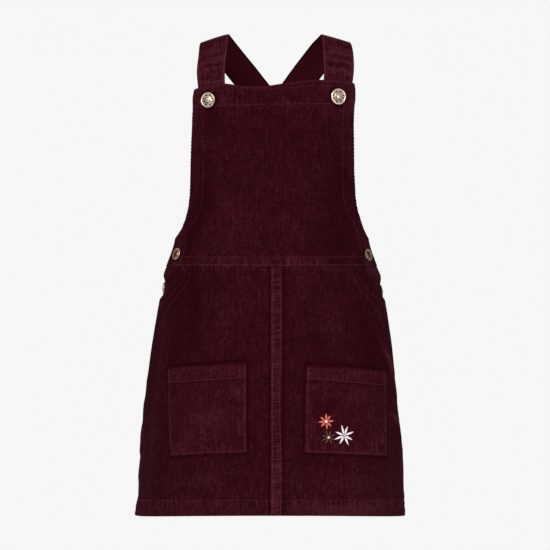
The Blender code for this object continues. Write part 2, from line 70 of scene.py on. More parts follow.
# Heights and places of cuts, folds and turnings.
BIB_BOTTOM = -237.8
SKIRT_TUCKED = BIB_BOTTOM - 0.7
SKIRT_CLEAR = BIB_BOTTOM - 6.6
SKIRT_TOP = -229.0
UNDERARM = -209.0
HEM = -496.2
HEM_DEPTH = 16.5
HEM_FOLD = 0.9
HEM_DROP = 2.4
TURNED_BAND = 0.4
SIDE_SEAM = 99.0
LAP_EDGE = -2.1
LAP_FULL = 9.8
LAP_END = 14.5
UNDERLAP_EDGE = 8.6
BACK_BIB_TOP = -118.0
BACK_BIB_EVEN = -160.0
BACK_TOP_DIP = 3.0
BIB_TOP_MEAN = -47.0
BIB_EVEN = -148.0
HEM_DROP_START = -440.0
PLACKET_TOP = UNDERARM - 1.5
PLACKET_FOOT = -282.0
PLACKET_ANGLES = (84.0, 112.0)

# Tables of the worn form and the cuts, each with the names of its columns.
BODY_COLUMNS = ("height", "centre", "half_width", "front", "side", "back", "squareness")
BODY = (
    (-30, 1.8, 96.0, -60, -20, 40, 2.00),
    (-50, 1.7, 96.5, -65, -20, 50, 2.00),
    (-90, 0.6, 97.0, -68, -18, 59, 2.00),
    (-130, 0.0, 97.5, -70, -16, 63, 2.00),
    (-170, -0.3, 98.5, -71, -13, 65, 2.05),
    (-208, -1.2, 101.5, -72, -10, 66, 2.10),
    (-238, -1.4, 111.0, -73, -8, 67, 2.15),
    (-247, -1.2, 114.2, -74, -8, 69, 2.15),
    (-260, -1.0, 115.8, -76, -7, 72, 2.20),
    (-272, -0.8, 118.2, -77, -6, 75, 2.20),
    (-327, -1.2, 126.8, -83, -3, 84, 2.20),
    (-386, -2.1, 133.2, -88, 0, 90, 2.20),
    (-445, -1.6, 137.9, -91, 0, 94, 2.20),
    (-475, -1.8, 139.0, -92, 0, 95, 2.20),
    (-500, -2.3, 141.6, -93, 0, 96, 2.20),
)
FOLD_COLUMNS = ("top_angle", "top", "bottom_angle", "bottom", "width", "rise")
FOLDS = (
    (40, -150, 33, -236, 7.0, -1.8),
    (-50, -165, -44, -236, 6.0, -1.5),
    (-12, -170, -20, -236, 9.0, 1.0),
    (20, -160, 14, -230, 8.0, 0.8),
    (-41, -250, -41, -335, 5.0, -2.2),
    (-25, -262, -22, -350, 7.0, 1.2),
    (-57, -278, -64, -420, 5.0, 1.5),
    (-70, -300, -74, -490, 7.0, -1.6),
    (52, -275, 60, -350, 6.0, -2.4),
    (28, -265, 33, -345, 6.0, -1.0),
    (71, -290, 80, -440, 6.0, 1.6),
    (8, -420, 12, -505, 5.0, -2.0),
    (-6, -380, -8, -505, 7.0, 1.2),
    (132, -262, 128, -505, 8.0, -3.6),
    (160, -262, 158, -505, 9.0, 2.2),
    (184, -285, 186, -505, 8.0, -3.0),
    (212, -262, 216, -505, 9.0, 2.4),
    (238, -270, 243, -505, 8.0, -3.4),
    (112, -300, 110, -505, 8.0, 2.0),
    (262, -300, 264, -505, 8.0, 1.6),
    (150, -150, 156, -236, 8.0, -1.6),
    (208, -160, 203, -236, 9.0, -1.4),
    (-90, -247, -90, -271, 12.0, -2.0),
    (92, -249, 92, -272, 12.0, -2.0),
)
BIB_EDGE_COLUMNS = ("height", "left", "right")
BIB_EDGES = (
    (-41.5, -52.0, 58.5),
    (-48.5, -55.5, 60.5),
    (-53.5, -60.8, 61.2),
    (-61.5, -62.2, 61.4),
    (-77, -61.8, 60.2),
    (-125, -62.4, 60.9),
    (-163, -62.4, 62.0),
    (-176, -63.6, 63.8),
    (-188, -66.4, 68.5),
    (-197, -70.6, 73.2),
    (-203, -76.8, 78.2),
    (-207, -86.0, 86.5),
    (-209, -98.9, 98.9),
)
BIB_TOP_COLUMNS = ("angle", "height")
BIB_TOP = (
    (-60.6, -52.6),
    (-57.0, -51.2),
    (-45.0, -48.9),
    (-32.7, -46.6),
    (-18.8, -49.4),
    (-8.0, -49.4),
    (6.5, -46.3),
    (29.6, -42.6),
    (45.0, -43.5),
    (57.4, -45.3),
    (61.3, -47.2),
)
MOUTH_COLUMNS = ("height", "angle")
MOUTH = (
    (-226, 53.0),
    (-235, 56.5),
    (-243, 60.0),
    (-251.5, 64.2),
    (-258.5, 69.4),
    (-264.6, 77.0),
    (-269, 86.0),
    (-273.5, 98.9),
)
HIP_INNER = (
    (-226, 43.0),
    (-243, 49.0),
    (-258, 56.0),
    (-272, 65.0),
    (-286, 75.0),
    (-297, 83.0),
)
BACK_EDGES = (
    (BACK_BIB_TOP + 2, 143.0),
    (-124, 140.2),
    (-140, 138.6),
    (-160, 134.5),
    (-176, 127.5),
    (-188, 120.0),
    (-197, 112.5),
    (-203, 106.5),
    (-207, 101.8),
    (-209, 99.1),
)
POCKET_COLUMNS = ("top_outer", "top_outer_height", "top_inner", "top_inner_height",
                  "bottom_inner", "bottom_inner_height", "bottom_outer", "bottom_outer_height")
POCKETS = {
    "patch_pocket_left": (-54.6, -342.6, -10.0, -336.6, -9.0, -430.4, -48.0, -434.4),
    "patch_pocket_right": (65.2, -346.1, 14.5, -339.0, 12.9, -430.6, 59.4, -435.4),
}
POCKET_DEPTH = 92.0
POCKET_TURN = 15.0
POCKET_BAG = 2.4
STRAP_COLUMNS = ("form_side", "inner_x", "inner_y", "inner_z", "outer_x", "outer_y", "outer_z",
                 "lift")
STRAP_LEFT = (
    ("front", -51.6, None, -97.0, -79.4, None, -98.0, -0.2),
    ("front", -51.5, None, -84.0, -79.5, None, -85.0, -0.2),
    ("front", -51.4, None, -72.0, -79.6, None, -73.0, -0.2),
    ("front", -51.3, None, -61.0, -80.0, None, -62.0, -0.4),
    ("front", -51.2, None, -50.0, -80.2, None, -52.0, -1.2),
    ("free", -50.3, -46.5, -31.0, -79.6, -36.5, -34.0, 0.0),
    ("free", -48.4, -32.5, -11.5, -78.0, -24.5, -17.0, 0.0),
    ("free", -46.8, -20.0, 2.2, -77.0, -13.5, -6.2, 0.0),
    ("free", -46.2, -9.0, 6.2, -75.6, -2.0, -2.8, 0.0),
    ("free", -43.6, 3.5, 3.4, -71.6, 9.5, -6.2, 0.0),
    ("free", -38.4, 15.0, -3.0, -64.4, 20.0, -15.6, 0.0),
    ("free", -29.0, 28.5, -14.4, -52.6, 30.0, -31.0, 0.0),
    ("free", -17.5, 39.5, -28.2, -40.4, 39.0, -46.2, 0.0),
    ("back", -6.2, None, -41.6, -29.0, None, -60.4, 0.0),
    ("back", 4.6, None, -54.8, -17.8, None, -73.6, 0.0),
    ("back", 15.0, None, -67.4, -7.2, None, -86.4, 0.0),
    ("back", 24.8, None, -80.0, 2.4, None, -98.0, 0.0),
    ("back", 34.0, None, -93.0, 9.6, None, -108.0, 0.0),
    ("back", 43.0, None, -106.5, 14.4, None, -116.0, 0.0),
    ("back", 51.0, None, -119.0, 19.0, None, -124.0, 0.0),
    ("back", 57.0, None, -131.0, 23.6, None, -132.0, 0.0),
)
STRAP_RIGHT = (
    ("front", 54.2, None, -94.0, 83.2, None, -95.0, -0.2),
    ("front", 54.2, None, -81.0, 83.3, None, -82.0, -0.2),
    ("front", 54.2, None, -69.0, 83.4, None, -70.0, -0.2),
    ("front", 54.2, None, -58.0, 83.6, None, -59.0, -0.4),
    ("front", 54.0, None, -48.0, 84.8, None, -49.0, -1.2),
    ("free", 53.2, -45.5, -29.5, 84.6, -35.0, -32.0, 0.0),
    ("free", 52.4, -32.0, -10.5, 84.2, -23.5, -15.8, 0.0),
    ("free", 51.2, -20.0, 2.2, 82.4, -13.0, -5.6, 0.0),
    ("free", 50.4, -9.0, 6.0, 80.4, -2.0, -2.6, 0.0),
    ("free", 47.2, 3.5, 3.2, 75.6, 9.5, -6.2, 0.0),
    ("free", 40.8, 15.0, -3.2, 68.0, 20.0, -15.6, 0.2),
    ("free", 31.6, 29.0, -14.8, 56.2, 30.0, -31.0, 0.5),
    ("free", 21.0, 40.0, -28.6, 44.6, 39.0, -46.4, 0.9),
    ("back", 10.6, None, -42.0, 33.6, None, -60.8, 1.4),
    ("back", 0.4, None, -55.2, 22.8, None, -74.4, LAYER),
    ("back", -9.8, None, -68.4, 12.4, None, -87.4, LAYER),
    ("back", -19.4, None, -81.4, 3.0, None, -99.4, LAYER),
    ("back", -28.8, None, -94.4, -4.4, None, -109.0, 1.2),
    ("back", -38.2, None, -107.4, -10.4, None, -116.4, 0.4),
    ("back", -47.4, None, -119.4, -16.0, None, -124.2, 0.0),
    ("back", -55.0, None, -131.0, -21.6, None, -132.0, 0.0),
)
STRAP_CROWN = 0.5
STRAP_WIDTH = 30.0
SIDE_DIMPLE = 0.9
# The last column is the share of a button's radius inside which it is not painted in shade; beyond it the
# outer wall is painted dark.
BUTTON_COLUMNS = ("angle", "height", "cloth", "diameter", "lean", "unshaded_reach")
BUTTONS = {
    "strap_button_left": (-44.5, -63.9, WALL + TURNED_BAND, 17.0, 0.0, 0.90),
    "strap_button_right": (42.7, -60.2, WALL + TURNED_BAND, 17.0, 0.0, 0.97),
    "side_button_left_upper": (-66.6, -224.7, WALL, 13.0, 0.0, 0.96),
    "side_button_left_lower": (-90.0, -259.8, -0.2, 13.0, 4.6, 1.0),
    "side_button_right_upper": (68.2, -225.7, WALL, 13.0, 0.0, 0.93),
    "side_button_right_lower": (93.2, -262.6, -0.3, 13.0, 4.6, 0.9),
}
BUTTON_PROFILE = (
    (0.0, 0.02), (0.70, 0.02), (0.90, 0.07), (0.975, 0.15), (1.0, 0.24), (0.985, 0.32), (0.94, 0.385),
    (0.88, 0.415), (0.82, 0.405), (0.785, 0.36), (0.74, 0.335), (0.62, 0.335), (0.575, 0.36), (0.54, 0.41),
    (0.47, 0.455), (0.34, 0.49), (0.27, 0.485), (0.20, 0.505), (0.0, 0.52),
)


def button_spot(name: str) -> dict[str, float]:
    """Place and size of a button, by the names of the columns."""
    return dict(zip(BUTTON_COLUMNS, BUTTONS[name]))


def pocket_corners(name: str) -> dict[str, float]:
    """Corners of a pocket, by the names of the columns."""
    return dict(zip(POCKET_COLUMNS, POCKETS[name]))


class Face(Enum):
    """The half of the form that a piece is laid out on, by the angle of its middle line."""

    FRONT = 0.0
    BACK = 180.0


class Held(Enum):
    STRETCHED = "stretched"
    HUNG = "hung"
    LAID = "laid"


def hump(value: Array, middle: float, width: float) -> Array:
    """Smooth hump that is 1 at its middle and falls to nothing about two widths away."""
    return np.exp(-(((value - middle) / width) ** 2))


def part_way(values: dict, one: str, other: str, share: Array) -> Array:
    """A value a share of the way from one named value to another."""
    return values[one] + (values[other] - values[one]) * share


def sorted_pair(one: Array, other: Array) -> Pair:
    """The lower and the higher of two values at every point."""
    return np.minimum(one, other), np.maximum(one, other)


def soft_step(value: Array | float, start: float | Array, end: float | Array) -> Array:
    """Smooth step between two values.

    Args:
        value: Where to read the step.
        start: Value at and before which the step is 0. It may be the larger one.
        end: Value at and past which the step is 1.

    Returns:
        The step, from 0 to 1.
    """
    share = np.clip((np.asarray(value, float) - start) / (end - start), 0, 1)
    return share * share * (3 - 2 * share)


def table_curve(rows: Sequence, columns: Sequence[str], name: str, key: str, where: Array) -> Array:
    """Monotone cubic curve through one column of a table, taken against its key column.

    Args:
        rows: The table.
        columns: Names of its columns.
        name: Column to read.
        key: Column that it is taken against.
        where: Key values to read the curve at.

    Returns:
        The values of the curve there.
    """
    knots = np.array([row[columns.index(key)] for row in rows], float)
    values = np.array([row[columns.index(name)] for row in rows], float)
    if knots[0] > knots[-1]:
        knots, values = knots[::-1], values[::-1]
    width = np.diff(knots)
    slope = np.diff(values) / width
    tangent = np.zeros(len(knots))
    tangent[0], tangent[-1] = slope[0], slope[-1]
    for i in range(1, len(knots) - 1):
        if slope[i - 1] * slope[i] > 0:
            before = 2 * width[i] + width[i - 1]
            after = width[i] + 2 * width[i - 1]
            tangent[i] = (before + after) / (before / slope[i - 1] + after / slope[i])
    where = np.clip(where, knots[0], knots[-1])
    i = np.clip(np.searchsorted(knots, where) - 1, 0, len(knots) - 2)
    t = (where - knots[i]) / width[i]
    low = (1 + 2 * t) * (1 - t) ** 2 * values[i] + t * (1 - t) ** 2 * width[i] * tangent[i]
    high = t * t * (3 - 2 * t) * values[i + 1] + t * t * (t - 1) * width[i] * tangent[i + 1]
    return low + high


def read_grid(table: Array, rows: Array, columns: Array, row: Array,
              column: Array) -> Array:
    """Straight-line reading of a table whose rows and columns are evenly spaced.

    Args:
        table: Values, rows first. It may have a last axis of its own.
        rows: Key values of the rows.
        columns: Key values of the columns.
        row: Row keys to read at.
        column: Column keys to read at.

    Returns:
        The values there.
    """
    i = np.clip((row - rows[0]) / (rows[1] - rows[0]), 0, len(rows) - 1.0001)
    j = np.clip((column - columns[0]) / (columns[1] - columns[0]), 0, len(columns) - 1.0001)
    i_low, j_low = i.astype(int), j.astype(int)
    u, v = i - i_low, j - j_low
    if table.ndim == 3:
        u, v = u[..., None], v[..., None]
    upper = table[i_low, j_low] * (1 - v) + table[i_low, j_low + 1] * v
    lower = table[i_low + 1, j_low] * (1 - v) + table[i_low + 1, j_low + 1] * v
    return upper * (1 - u) + lower * u


def uneven(place: Array, pitch: float, seed: int) -> Array:
    """Uneven smooth waviness along a line, from -1 to 1, the same each time for the same seed.

    Args:
        place: Distance along the line.
        pitch: Rough distance from one rise to the next.
        seed: Which unevenness to take.

    Returns:
        The waviness at each place.
    """
    heights = np.random.default_rng(seed).uniform(-1, 1, 512)
    at = np.asarray(place, float) / (pitch * 0.55) + 97.0
    low = np.floor(at).astype(int)
    share = at - low
    share = share * share * (3 - 2 * share)
    return heights[low % 512] * (1 - share) + heights[(low + 1) % 512] * share


def runs(points: Array) -> Array:
    """Distance along a line at each of its points."""
    return np.concatenate([[0], np.cumsum(np.linalg.norm(np.diff(points, axis=0), axis=1))])


def smooth_line(points: Array, shares: Sequence[Array]) -> list[Array]:
    """Points of a smooth line through given points.

    Args:
        points: The given points.
        shares: For each stretch, the shares along it to find points at.

    Returns:
        The points of the line, with the last given point at its end.
    """
    padded = np.concatenate([2 * points[:1] - points[1:2], points, 2 * points[-1:] - points[-2:-1]])
    line = []
    for i, along in enumerate(shares):
        before, here, after, beyond = padded[i:i + 4]
        for u in along:
            line.append(0.5 * (2 * here + (after - before) * u
                               + (2 * before - 5 * here + 4 * after - beyond) * u ** 2
                               + (3 * here - before - 3 * after + beyond) * u ** 3))
    return line + [points[-1]]


class WornForm:
    """The closed shape that the panels follow, with its main folds."""

    heights = np.arange(-514.0, -24.0, 2.0)
    arcs = np.arange(-240.0, 241.0, 1.0)

    def __init__(self) -> None:
        """Measures the way round the form once, for every height and both faces."""
        self.turns = {face: self._turn_table(face) for face in Face}

    def column(self, name: str, height: Array) -> Array:
        """One column of the body table at these heights."""
        return table_curve(BODY, BODY_COLUMNS, name, "height", height)

    def smooth(self, angle: Array, height: Array) -> Array:
        """Points of the form without its folds.

        Args:
            angle: Angles round the form.
            height: Heights.

        Returns:
            Points, with a last axis of 3.
        """
        turn = np.radians(angle)
        power = 2 / self.column("squareness", height)
        across = np.sign(np.sin(turn)) * np.abs(np.sin(turn)) ** power
        along = np.sign(np.cos(turn)) * np.abs(np.cos(turn)) ** power
        side = self.column("side", height)
        to_front = side - self.column("front", height)
        to_back = self.column("back", height) - side
        x = self.column("centre", height) + self.column("half_width", height) * across
        y = side - np.where(along > 0, to_front, to_back) * along
        return np.stack(np.broadcast_arrays(x, y, np.asarray(height, float)), axis=-1)

    def fold_relief(self, angle: Array, height: Array) -> Array:
        """How far the main folds move the form outwards.

        Args:
            angle: Angles round the form.
            height: Heights.

        Returns:
            Distances outwards.
        """
        total = np.zeros(np.broadcast(angle, height).shape)
        for row in FOLDS:
            fold = dict(zip(FOLD_COLUMNS, row))
            share = (height - fold["top"]) / (fold["bottom"] - fold["top"])
            middle = fold["top_angle"] + np.clip(share, 0, 1) * (fold["bottom_angle"] - fold["top_angle"])
            off = (np.asarray(angle) - middle + 180) % 360 - 180
            ends = soft_step(share, -0.05, 0.3) * soft_step(share, 1.08, 0.75)
            if fold["bottom"] < HEM:
                ends = soft_step(share, 0.0, 0.55)
            total = total + fold["rise"] * np.exp(-((off / fold["width"]) ** 2)) * ends
        return total

    def normal(self, angle: Array, height: Array,
               shape: Callable[[Array, Array], Array]) -> Array:
        """Unit normals of a shape over the form, pointing out of the garment.

        Args:
            angle: Angles round the form.
            height: Heights.
            shape: The smooth or the folded form.

        Returns:
            Normals, with a last axis of 3.
        """
        round_step = shape(angle + 0.4, height) - shape(angle - 0.4, height)
        up_step = shape(angle, height + 0.6) - shape(angle, height - 0.6)
        normal = np.cross(round_step, up_step)
        return normal / np.linalg.norm(normal, axis=-1, keepdims=True)

    def folded(self, angle: Array, height: Array) -> Array:
        """Points of the form with its main folds."""
        relief = self.fold_relief(angle, height)[..., None]
        return self.smooth(angle, height) + self.normal(angle, height, self.smooth) * relief

    def place(self, angle: Array, height: Array, out: Array) -> Pair:
        """Points above the inner face of a panel whose outer face is the folded form.

        Args:
            angle: Angles round the form.
            height: Heights.
            out: Distances above the inner face.

        Returns:
            The points and the normals of the form there.
        """
        normal = self.normal(angle, height, self.folded)
        return self.folded(angle, height) + normal * (np.asarray(out) - WALL)[..., None], normal

    def _turn_table(self, face: Face) -> Array:
        """Angles for every height and every distance round the form from one middle line.

        Args:
            face: Whether to measure from the centre front or the centre back.

        Returns:
            Angles, one row for each height.
        """
        angles = face.value + np.linspace(-125, 125, 1001)
        table = []
        for height in self.heights:
            points = self.smooth(angles, np.full(len(angles), height))
            run = runs(points)
            table.append(np.interp(self.arcs, run - run[500], angles))
        return np.array(table)

    def angle_at(self, s: Array, height: Array, face: Face) -> Array:
        """Angle that lies a distance s round the form from a middle line."""
        return read_grid(self.turns[face], self.heights, self.arcs, height, s)

    def distance_to(self, angle: Array, height: Array, face: Face) -> Array:
        """Distance round the form from a middle line to an angle.

        Args:
            angle: Angles round the form.
            height: Heights.
            face: Whether to measure from the centre front or the centre back.

        Returns:
            Distances, less than 0 on the side of smaller angles.
        """
        angle, height = np.broadcast_arrays(np.asarray(angle, float), np.asarray(height, float))
        low, high = np.full(angle.shape, -239.0), np.full(angle.shape, 239.0)
        for _ in range(22):
            middle = (low + high) / 2
            short = self.angle_at(middle, height, face) < angle
            low, high = np.where(short, middle, low), np.where(short, high, middle)
        return (low + high) / 2

    def angle_of(self, x: Array, height: Array, back: bool = False) -> Array:
        """Angle at which the smooth form passes a given x, on its front or its back.

        Args:
            x: Places to the side.
            height: Heights.
            back: Whether to read the back.

        Returns:
            Angles round the form.
        """
        share = (x - self.column("centre", height)) / self.column("half_width", height)
        sine = np.clip(np.abs(share), 0, 1) ** (self.column("squareness", height) / 2)
        turn = np.degrees(np.arcsin(sine)) * np.sign(share)
        return 180 - turn if back else turn


FORM = WornForm()


@dataclass(frozen=True)
class Seam:
    """A line of stitches on flat cloth, with the furrow and the puckers that it pulls.

    The puckers are small ridges across the seam. They run to both sides, or only to one where
    side is 1, its left when it is walked from its first point, or -1, its right. A thread of
    width 0 leaves the seam without stitches that show.
    """

    points: tuple[tuple[float, float], ...]
    depth: float = 0.3
    furrow: float = 0.75
    pucker: float = 0.0
    reach: float = 4.0
    ripple: float = 3.4
    side: int = 0
    thread: float = 0.5
    seed: int = 1
    beyond: float = 0.25

    def measure(self, s: Array, t: Array) -> Pair:
        """Distance from the seam and place along it.

        Args:
            s: Distances across the cloth.
            t: Heights on the cloth.

        Returns:
            Signed distances, above 0 on the left of the line, and the runs along it.
        """
        best = np.full(s.shape, 1e9)
        gap, place = np.full(s.shape, 1e9), np.zeros(s.shape)
        start = 0.0
        for (s0, t0), (s1, t1) in zip(self.points, self.points[1:]):
            ds, dt = s1 - s0, t1 - t0
            length = math.hypot(ds, dt)
            share = np.clip(((s - s0) * ds + (t - t0) * dt) / length ** 2, 0, 1)
            off_s, off_t = s - s0 - share * ds, t - t0 - share * dt
            away = np.hypot(off_s, off_t)
            nearer = away < best
            best = np.where(nearer, away, best)
            gap = np.where(nearer, away * np.sign(ds * off_t - dt * off_s), gap)
            place = np.where(nearer, start + share * length, place)
            start += length
        return gap, place

    def relief(self, s: Array, t: Array) -> Pair:
        """How far the seam moves the cloth outwards.

        Args:
            s: Distances across the cloth.
            t: Heights on the cloth.

        Returns:
            The furrow, and the puckers.
        """
        gap, place = self.measure(s, t)
        furrow = -self.depth * np.exp(-((gap / self.furrow) ** 2))
        if not self.pucker:
            return furrow, np.zeros(s.shape)
        sway = place + 0.16 * gap + 0.8 * uneven(place, 17, self.seed + 2)
        wave = 0.55 * np.sin(sway * math.tau / self.ripple) + 0.75 * uneven(sway, self.ripple, self.seed)
        strength = 0.65 + 0.45 * uneven(place, 28, self.seed + 5)
        beside = np.exp(-((gap / self.reach) ** 2)) * (1 - 0.75 * np.exp(-((gap / 0.7) ** 2)))
        if self.side:
            beside = beside * (self.beyond + (1 - self.beyond) * soft_step(gap * self.side, -0.8, 0.6))
        return furrow, self.pucker * wave * strength * beside

    def marks(self, length: float, gap: float) -> Array:
        """Ends of the stitches along the seam.

        Args:
            length: Length of a stitch that shows.
            gap: Distance between one and the next.

        Returns:
            One row for each stitch: s and t of its start, then of its end.
        """
        points = np.array(self.points, float)
        run = runs(points)
        count = max(1, int(run[-1] // (length + gap)))
        starts = (np.arange(count) + 0.1) * run[-1] / count
        ends = starts + length
        columns = [np.interp(where, run, points[:, axis]) for where in (starts, ends) for axis in (0, 1)]
        return np.stack(columns, axis=1)


@dataclass(frozen=True)
class Crease:
    """A soft ridge (rise above 0) or trough in the cloth, tilted from the upright.

    Its tone is painted light and shade over it: as much lighter, or below 0 darker, as the tone says.
    """

    s: float
    t: float
    tilt: float
    length: float
    width: float
    rise: float
    # Painted highlight above 0, painted shade below 0.
    tone: float = 0.0

    def share(self, s: Array, t: Array) -> Array:
        """1 on the middle of the crease, 0 far from it.

        Args:
            s: Distances across the cloth.
            t: Heights on the cloth.

        Returns:
            The share at each point.
        """
        turn = math.radians(self.tilt)
        along = ((t - self.t) * math.cos(turn) + (s - self.s) * math.sin(turn)) / self.length
        across = ((s - self.s) * math.cos(turn) - (t - self.t) * math.sin(turn)) / self.width
        bowed = across + 0.35 * (along * along - 0.4)
        return np.exp(-along * along - bowed * bowed)


def curve(*points: tuple[float, float]) -> tuple[tuple[float, float], ...]:
    """Smooth line of short steps through a few points of flat cloth.

    Args:
        points: Distances across and heights that the line passes.

    Returns:
        The points of the line.
    """
    given = np.array(points, float)
    run = runs(given)
    shares = [np.arange(0, 1, min(1.0, 4.0 / max(end - start, 4.0))) for start, end in zip(run, run[1:])]
    return tuple((float(a), float(b)) for a, b in smooth_line(given, shares))


def spaced(low: float, high: float, step: float) -> list[float]:
    """Evenly spaced heights from low up to just under high, about a step apart."""
    return list(np.linspace(low, high, max(1, round((high - low) / step)) + 1)[:-1])


class Value:
    """A number in a shader that ordinary arithmetic can be written with."""

    def __init__(self, bench: "Bench", socket: bpy.types.NodeSocket) -> None:
        """Wraps an output socket of one material's nodes."""
        self.bench = bench
        self.socket = socket

    def _math(self, operation: str, *values: "Value | float") -> "Value":
        """A new Math node on these values, in their order."""
        inputs = dict(enumerate(values))
        return self.bench.value("ShaderNodeMath", {"operation": operation}, inputs)

    def __add__(self, other: "Value | float") -> "Value":
        """Sum."""
        return self._math("ADD", self, other)

    def __radd__(self, other: float) -> "Value":
        """Sum, from the right."""
        return self._math("ADD", other, self)

    def __sub__(self, other: "Value | float") -> "Value":
        """Difference."""
        return self._math("SUBTRACT", self, other)

    def __rsub__(self, other: float) -> "Value":
        """Difference, from the right."""
        return self._math("SUBTRACT", other, self)

    def __mul__(self, other: "Value | float") -> "Value":
        """Product."""
        return self._math("MULTIPLY", self, other)

    def __rmul__(self, other: float) -> "Value":
        """Product, from the right."""
        return self._math("MULTIPLY", other, self)

    def __truediv__(self, other: "Value | float") -> "Value":
        """Quotient."""
        return self._math("DIVIDE", self, other)

    def __pow__(self, other: float) -> "Value":
        """Power."""
        return self._math("POWER", self, other)

    def sine(self) -> "Value":
        """Sine of an angle in radians."""
        return self._math("SINE", self)

    def kept(self) -> "Value":
        """The value kept from 0 to 1."""
        return self.bench.value("ShaderNodeClamp", {}, {0: self})

    def stepped(self, start: float, end: float) -> "Value":
        """Smooth step from 0 at start to 1 at end."""
        settings = {"interpolation_type": "SMOOTHSTEP"}
        return self.bench.value("ShaderNodeMapRange", settings, {0: self, 1: start, 2: end, 3: 0.0, 4: 1.0})


class Bench:
    """One material's nodes while they are put together."""

    def __init__(self, name: str) -> None:
        """Starts a material of this name with only its output.

        Args:
            name: Name of the material.
        """
        self.material = bpy.data.materials.new(name)
        self.material.use_nodes = True
        self.tree = self.material.node_tree
        self.tree.nodes.clear()

    def node(self, kind: str, settings: dict[str, object], inputs: dict[str | int, object]) -> bpy.types.Node:
        """Adds a node.

        Args:
            kind: Type of the node.
            settings: Its properties, set before its sockets. "stops" fills a colour ramp.
            inputs: Its sockets by name or number, each a number, a tuple, a Value or a socket.

        Returns:
            The node.
        """
        node = self.tree.nodes.new(kind)
        for name, setting in settings.items():
            if name == "stops":
                ramp = node.color_ramp
                while len(ramp.elements) < len(setting):
                    ramp.elements.new(0.5)
                for element, (place, colour) in zip(ramp.elements, setting):
                    element.position = place
                    element.color = (*colour, 1.0)
            else:
                setattr(node, name, setting)
        for name, given in inputs.items():
            socket = node.inputs[name]
            if isinstance(given, Value):
                self.tree.links.new(given.socket, socket)
            elif isinstance(given, bpy.types.NodeSocket):
                self.tree.links.new(given, socket)
            else:
                socket.default_value = given
        return node

    def value(self, kind: str, settings: dict[str, object], inputs: dict[str | int, object]) -> Value:
        """The first output of a new node, as a Value."""
        return Value(self, self.node(kind, settings, inputs).outputs[0])

    def attribute(self, name: str) -> bpy.types.Node:
        """Node that reads one of the piece's own attributes."""
        return self.node("ShaderNodeAttribute", {"attribute_name": name}, {})

    def noise(self, vector: bpy.types.NodeSocket, scale: float, detail: float = 2.0,
              roughness: float = 0.5) -> Value:
        """Noise over a vector, about 0 to 1."""
        inputs = {"Vector": vector, "Scale": scale, "Detail": detail, "Roughness": roughness}
        return self.value("ShaderNodeTexNoise", {}, inputs)

    def stretched(self, vector: bpy.types.NodeSocket,
                  scale: tuple[float, float, float]) -> bpy.types.NodeSocket:
        """A vector scaled by its own amount along each axis."""
        inputs = {"Vector": vector, "Scale": scale}
        return self.node("ShaderNodeMapping", {"vector_type": "POINT"}, inputs).outputs[0]

    def mixed(self, factor: Value, first: object, second: object, blend: str = "MIX") -> bpy.types.NodeSocket:
        """A mix of two colours, each a tuple of three or a socket.

        Args:
            factor: Share of the second colour.
            first: First colour.
            second: Second colour.
            blend: Blend type of the Mix node.

        Returns:
            The mixed colour.
        """
        colours = [(*c, 1.0) if isinstance(c, tuple) else c for c in (first, second)]
        settings = {"data_type": "RGBA", "blend_type": blend}
        return self.node("ShaderNodeMix", settings, {0: factor, 6: colours[0], 7: colours[1]}).outputs[2]

    def raised(self, height: Value, distance: float, strength: float = 1.0,
               normal: bpy.types.NodeSocket | None = None) -> bpy.types.NodeSocket:
        """Normal of a surface with this height pattern on it.

        Args:
            height: Height, in units of the distance.
            distance: What a height of 1 is in metres.
            strength: Share of the effect.
            normal: Normal that it goes on top of.

        Returns:
            The new normal.
        """
        inputs = {"Height": height, "Distance": distance, "Strength": strength}
        if normal is not None:
            inputs["Normal"] = normal
        return self.node("ShaderNodeBump", {}, inputs).outputs[0]

    def finish(self, inputs: dict[str, object]) -> bpy.types.Material:
        """Ends in a Principled shader with these sockets and returns the material.

        Args:
            inputs: Values and links of the shader's sockets.

        Returns:
            The material.
        """
        shader = self.node("ShaderNodeBsdfPrincipled", {}, inputs)
        output = self.node("ShaderNodeOutputMaterial", {}, {})
        self.tree.links.new(shader.outputs[0], output.inputs[0])
        return self.material


